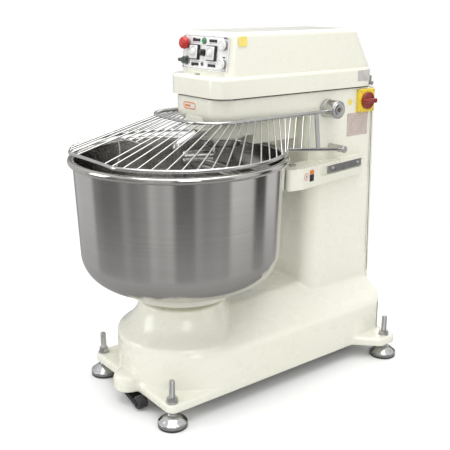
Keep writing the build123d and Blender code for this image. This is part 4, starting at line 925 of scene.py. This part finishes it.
def hood_labels():
    """Blank plates where the real hood and head carry marks."""
    side_x = 0.1385
    lean = math.atan2(6 * MM, 135 * MM)
    spot = along((math.cos(lean), 0, math.sin(lean)), (side_x - 0.4 * MM, BOWL_AXIS.y + 0.150, 1.181))
    shape = rounded_plate((34 * MM, 30 * MM), 0.8 * MM, 5 * MM, spot)
    add_pieces("hood_side_blank_film", [shape], "hood", "plate_aluminium", pale_yellow)
    lip_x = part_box("hood_shell")[1].x
    spot = along((1, 0, 0), (lip_x - 0.3 * MM, BOWL_AXIS.y + 0.697, 1.046))
    shape = rounded_plate((62 * MM, 38 * MM), 0.8 * MM, 2 * MM, spot)
    add_pieces("hood_lip_blank_plate", [shape], "hood", "plate_aluminium", plate_grey)
    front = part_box("column_casting")[0].y
    badge = along((0, -1, 0), (-0.022, front + 0.9 * MM, 0.974))
    outline = rounded_plate((70 * MM, 24 * MM), 1.0 * MM, 10 * MM, badge)
    inner = rounded_plate((62 * MM, 16 * MM), 1.2 * MM, 7 * MM, badge)
    bar = rounded_plate((34 * MM, 7 * MM), 1.4 * MM, 3 * MM, badge @ Matrix.Translation((-10 * MM, 0, 0)))
    add_pieces("head_front_badge_rim", [outline], "frame", "plate_aluminium", soft_orange)
    add_pieces("head_front_badge_field", [inner], "frame", "plate_aluminium", finishes["white_plastic"])
    add_pieces("head_front_badge_bar", [bar], "frame", "plate_aluminium", soft_orange)
    dot = along((1, 0, 0), (0.1405, 0.431, 0.955))
    disc = turned(mm((0, 0), (11, 0), (11, 1.1), (0, 1.3)), dot, 40)
    add_pieces("head_side_yellow_dot", [disc], "frame", "plate_aluminium", pale_yellow)


hood_labels()


def guide_arm_details():
    """Plain film marks at the arms' noses and washers under the adjusting bolts."""
    marks = {"white": [], "orange": [], "black": []}
    washers = []
    for side in (-1, 1):
        outward = Vector((side * 200, 26, 0)).normalized()
        forward = Vector((side * 26, -200, 0)).normalized()
        face = Vector((side * 0.177, BOWL_AXIS.y + 0.600, 0.735))
        for reach in (-0.078, 0.070):
            seat = along(outward, face + forward * reach - outward * 3.2 * MM)
            washers.append(turned_ring(mm((4, 0), (11, 0), (11, 1.4), (4, 1.6)), seat, 32))
        # the nose turns outwards a little from the slotted stretch
        outward = Vector((side * 148, 26, 0)).normalized()
        forward = Vector((side * 26, -148, 0)).normalized()
        bend = Vector((side * 0.190, BOWL_AXIS.y + 0.500, 0.733))
        round_mark = along(outward, bend + forward * 0.132 - outward * 0.3 * MM)
        marks["orange"].append(turned(mm((0, 0), (13, 0), (13, 0.9), (0, 0.9)), round_mark, 40))
        marks["white"].append(turned(mm((0, 0), (10.5, 0), (10.5, 1.2), (0, 1.2)), round_mark, 40))
        marks["black"].append(rounded_plate((5 * MM, 11 * MM), 1.5 * MM, 2 * MM, round_mark))
        spot = bend + forward * 0.102
        for part, size, rise in (("orange", 14, 12 * MM), ("black", 24, -8 * MM)):
            flat = along(outward, spot - outward * 0.3 * MM + Vector((0, 0, rise)))
            marks[part].append(rounded_plate((24 * MM, size * MM), 0.9 * MM, 1 * MM, flat))
    add_pieces("guide_bolt_washers", washers, "frame", "zinc_steel")
    looks = {"white": finishes["white_plastic"], "orange": film_orange, "black": finishes["black_plastic"]}
    for part, shapes in marks.items():
        add_pieces(f"guide_arm_{part}_marks", shapes, "frame", "plate_aluminium", looks[part])


guide_arm_details()


def fittings():
    """Screw heads and rings that hold the spindle housing, breaker bracket and gland."""
    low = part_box("spindle_housing")[0]
    centre = Vector((0, low.y + 0.074, low.z))
    down = Vector((0, 0, -1))
    ring = mm((52, -0.5), (60, -0.5), (60, 1.6), (52, 1.6))
    add_pieces("spindle_seal_ring", [turned_ring(ring, along(down, centre), 72)], "frame", "black_plastic")
    screws = []
    for k in range(6):
        a = math.radians(30 + 60 * k)
        spot = centre + Vector((66.5 * MM * math.cos(a), 66.5 * MM * math.sin(a), 0.4 * MM))
        screws.append(screw_head(along(down, spot), 4 * MM, 3 * MM))
    low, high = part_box("breaker_bracket")
    for side in (-1, 1):
        spot = Vector((side * 36 * MM, (low.y + high.y) / 2, low.z + 0.4 * MM))
        screws.append(hexagon(along(down, spot), 15 * MM, 6 * MM))
    add_pieces("underside_fixing_screws", screws, "frame", "zinc_steel")
    low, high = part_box("cable_gland")
    spot = Vector(((low.x + high.x) / 2, high.y - 8 * MM, (low.z + high.z) / 2))
    nut = mm((6.6, 0), (12, 0), (12.8, 1), (12.8, 5), (10, 7.6), (6.6, 7.6))
    shapes = [turned_ring(nut, along((0, 1, 0), spot), 48)]
    add_pieces("gland_sealing_nut", shapes, "frame", "black_plastic")


fittings()


def column_seams():
    """Dark joint between the column's sides and its rear cover."""
    foot_low, foot_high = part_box("rear_panel")
    front = foot_high.y - 0.028
    shapes = []
    for side in (-1, 1):
        top = Vector((side * 0.1402, front, foot_high.z - 4 * MM))
        foot = Vector((side * 0.1497, front + 0.013, foot_low.z + 30 * MM))
        shapes.append(tube([foot + (top - foot) * k / 6 for k in range(7)], 1.0 * MM, 8))
    add_pieces("column_rear_seams", shapes, "frame", "belt_rubber", dark_gap)


column_seams()


# ======================================================================= studio
EYE = (1.9827, -1.5546, 1.3082)
EYE_TURN, EYE_PITCH = math.radians(52.36), math.radians(16.92)
LENS, SENSOR = 59.5, 36
LAMP_AIM = Vector((0, 0, 0.6))
PAPER = (0.93, 0.93, 0.93)
ROOM_LIGHT = 0.80
# brightness of the upright panels that shiny surfaces mirror, by share of a turn round the room
ROOM_PANELS = (
    (0.00, 0.62), (0.10, 0.66), (0.12, 0.24), (0.16, 0.14), (0.21, 0.20), (0.235, 0.36), (0.26, 0.26),
    (0.30, 0.34), (0.32, 0.62), (0.345, 0.50), (0.375, 0.60), (0.395, 0.14), (0.44, 0.12), (0.455, 0.36),
    (0.48, 0.26), (0.52, 0.34), (0.55, 0.30), (0.565, 0.80), (0.635, 0.72), (0.655, 0.06), (0.69, 0.08),
    (0.705, 0.80), (0.75, 0.75), (0.78, 0.12), (0.85, 0.16), (0.89, 0.55), (0.95, 0.25), (1.00, 0.62),
)
LAMPS = (
    ("overhead", (0.3, -0.3, 3.4), (3.0, 3.0), 78),
    ("key", (3.0, -1.6, 2.3), (1.2, 1.8), 20),
    ("fill", (-1.6, -3.0, 1.6), (1.2, 2.0), 26),
    ("back", (-1.4, 3.0, 2.2), (1.6, 2.4), 18),
)


def set_ramp(ramp, stops):
    """Grey stops of a colour ramp, as (position, brightness) pairs."""
    while len(ramp.elements) < len(stops):
        ramp.elements.new(1.0)
    for element, (position, level) in zip(ramp.elements, stops):
        element.position = position
        element.color = (level, level, level, 1)


def fading_paper(floor):
    """Pale paper that fades into the white surroundings away from the machine, with a painted reflection:
    shiny surfaces mirror it as dark grey.
    """
    paper = Finish("studio_paper", PAPER, 0.9)
    far = paper.node("ShaderNodeVectorMath")
    far.operation = "LENGTH"
    paper.link(paper.place(), far.inputs[0])
    fade = paper.spread(far.outputs["Value"], 1.0, 0.0, 1.1, 2.6)
    paper.link(fade, paper.surface.inputs["Alpha"])
    # painted reflection: in mirrored views the paper turns dark grey, which darkens the floor seen in the
    # bowl and polished steel
    path = paper.node("ShaderNodeLightPath")
    paper.tint(path.outputs["Is Glossy Ray"], PAPER, (0.30, 0.30, 0.30))
    floor.data.materials.append(paper.material)


def studio():
    """Pale floor, even white surroundings and soft lamps."""
    mesh = bpy.data.meshes.new("studio_floor")
    mesh.from_pydata([(-9, -9, 0), (9, -9, 0), (9, 9, 0), (-9, 9, 0)], [], [(0, 1, 2, 3)])
    floor = bpy.data.objects.new("studio_floor", mesh)
    scene.collection.objects.link(floor)
    fading_paper(floor)

    world = bpy.data.worlds.new("studio")
    scene.world = world
    world.use_nodes = True
    tree = world.node_tree
    sky = tree.nodes["Background"]
    coordinates = tree.nodes.new("ShaderNodeTexCoord")
    parts = tree.nodes.new("ShaderNodeSeparateXYZ")
    tree.links.new(coordinates.outputs["Generated"], parts.inputs[0])
    # what polished surfaces mirror: a dim room with upright bright panels round it
    turn = tree.nodes.new("ShaderNodeMath")
    turn.operation = "ARCTAN2"
    tree.links.new(parts.outputs[1], turn.inputs[0])
    tree.links.new(parts.outputs[0], turn.inputs[1])
    around = tree.nodes.new("ShaderNodeMapRange")
    around.inputs["From Min"].default_value = -math.pi
    around.inputs["From Max"].default_value = math.pi
    tree.links.new(turn.outputs[0], around.inputs["Value"])
    panels = tree.nodes.new("ShaderNodeValToRGB")
    panels.color_ramp.interpolation = "EASE"
    set_ramp(panels.color_ramp, ROOM_PANELS)
    tree.links.new(around.outputs["Result"], panels.inputs[0])
    height = tree.nodes.new("ShaderNodeMapRange")
    height.inputs["From Min"].default_value = 0.25
    height.inputs["From Max"].default_value = 0.8
    tree.links.new(parts.outputs[2], height.inputs["Value"])
    room = tree.nodes.new("ShaderNodeMix")
    room.data_type = "RGBA"
    tree.links.new(height.outputs["Result"], room.inputs["Factor"])
    tree.links.new(panels.outputs[0], room.inputs["A"])
    room.inputs["B"].default_value = (0.9, 0.9, 0.9, 1)
    path = tree.nodes.new("ShaderNodeLightPath")
    mirrored = tree.nodes.new("ShaderNodeMix")
    mirrored.data_type = "RGBA"
    tree.links.new(path.outputs["Is Glossy Ray"], mirrored.inputs["Factor"])
    mirrored.inputs["A"].default_value = (ROOM_LIGHT, ROOM_LIGHT, ROOM_LIGHT, 1)
    tree.links.new(room.outputs["Result"], mirrored.inputs["B"])
    seen = tree.nodes.new("ShaderNodeMix")
    seen.data_type = "RGBA"
    tree.links.new(path.outputs["Is Camera Ray"], seen.inputs["Factor"])
    tree.links.new(mirrored.outputs["Result"], seen.inputs["A"])
    seen.inputs["B"].default_value = (1, 1, 1, 1)
    tree.links.new(seen.outputs["Result"], sky.inputs[0])

    for name, place, size, power in LAMPS:
        lamp = bpy.data.lights.new(name, "AREA")
        lamp.shape = "RECTANGLE"
        lamp.size, lamp.size_y = size
        lamp.energy = power
        holder = bpy.data.objects.new(name, lamp)
        holder.location = place
        towards = LAMP_AIM - Vector(place)
        holder.rotation_mode = "QUATERNION"
        holder.rotation_quaternion = towards.to_track_quat("-Z", "Y")
        scene.collection.objects.link(holder)
    scene.view_settings.view_transform = "Standard"
    scene.view_settings.look = "None"


def camera():
    """Camera in front of the machine, to its right and a little above it."""
    level = math.cos(EYE_PITCH)
    look = Vector((-math.sin(EYE_TURN) * level, math.cos(EYE_TURN) * level, -math.sin(EYE_PITCH)))
    lens = bpy.data.cameras.new("camera")
    lens.sensor_width = SENSOR
    lens.lens = LENS
    eye = bpy.data.objects.new("camera", lens)
    eye.location = EYE
    eye.rotation_mode = "QUATERNION"
    eye.rotation_quaternion = look.to_track_quat("-Z", "Y")
    scene.collection.objects.link(eye)
    scene.camera = eye


studio()
camera()
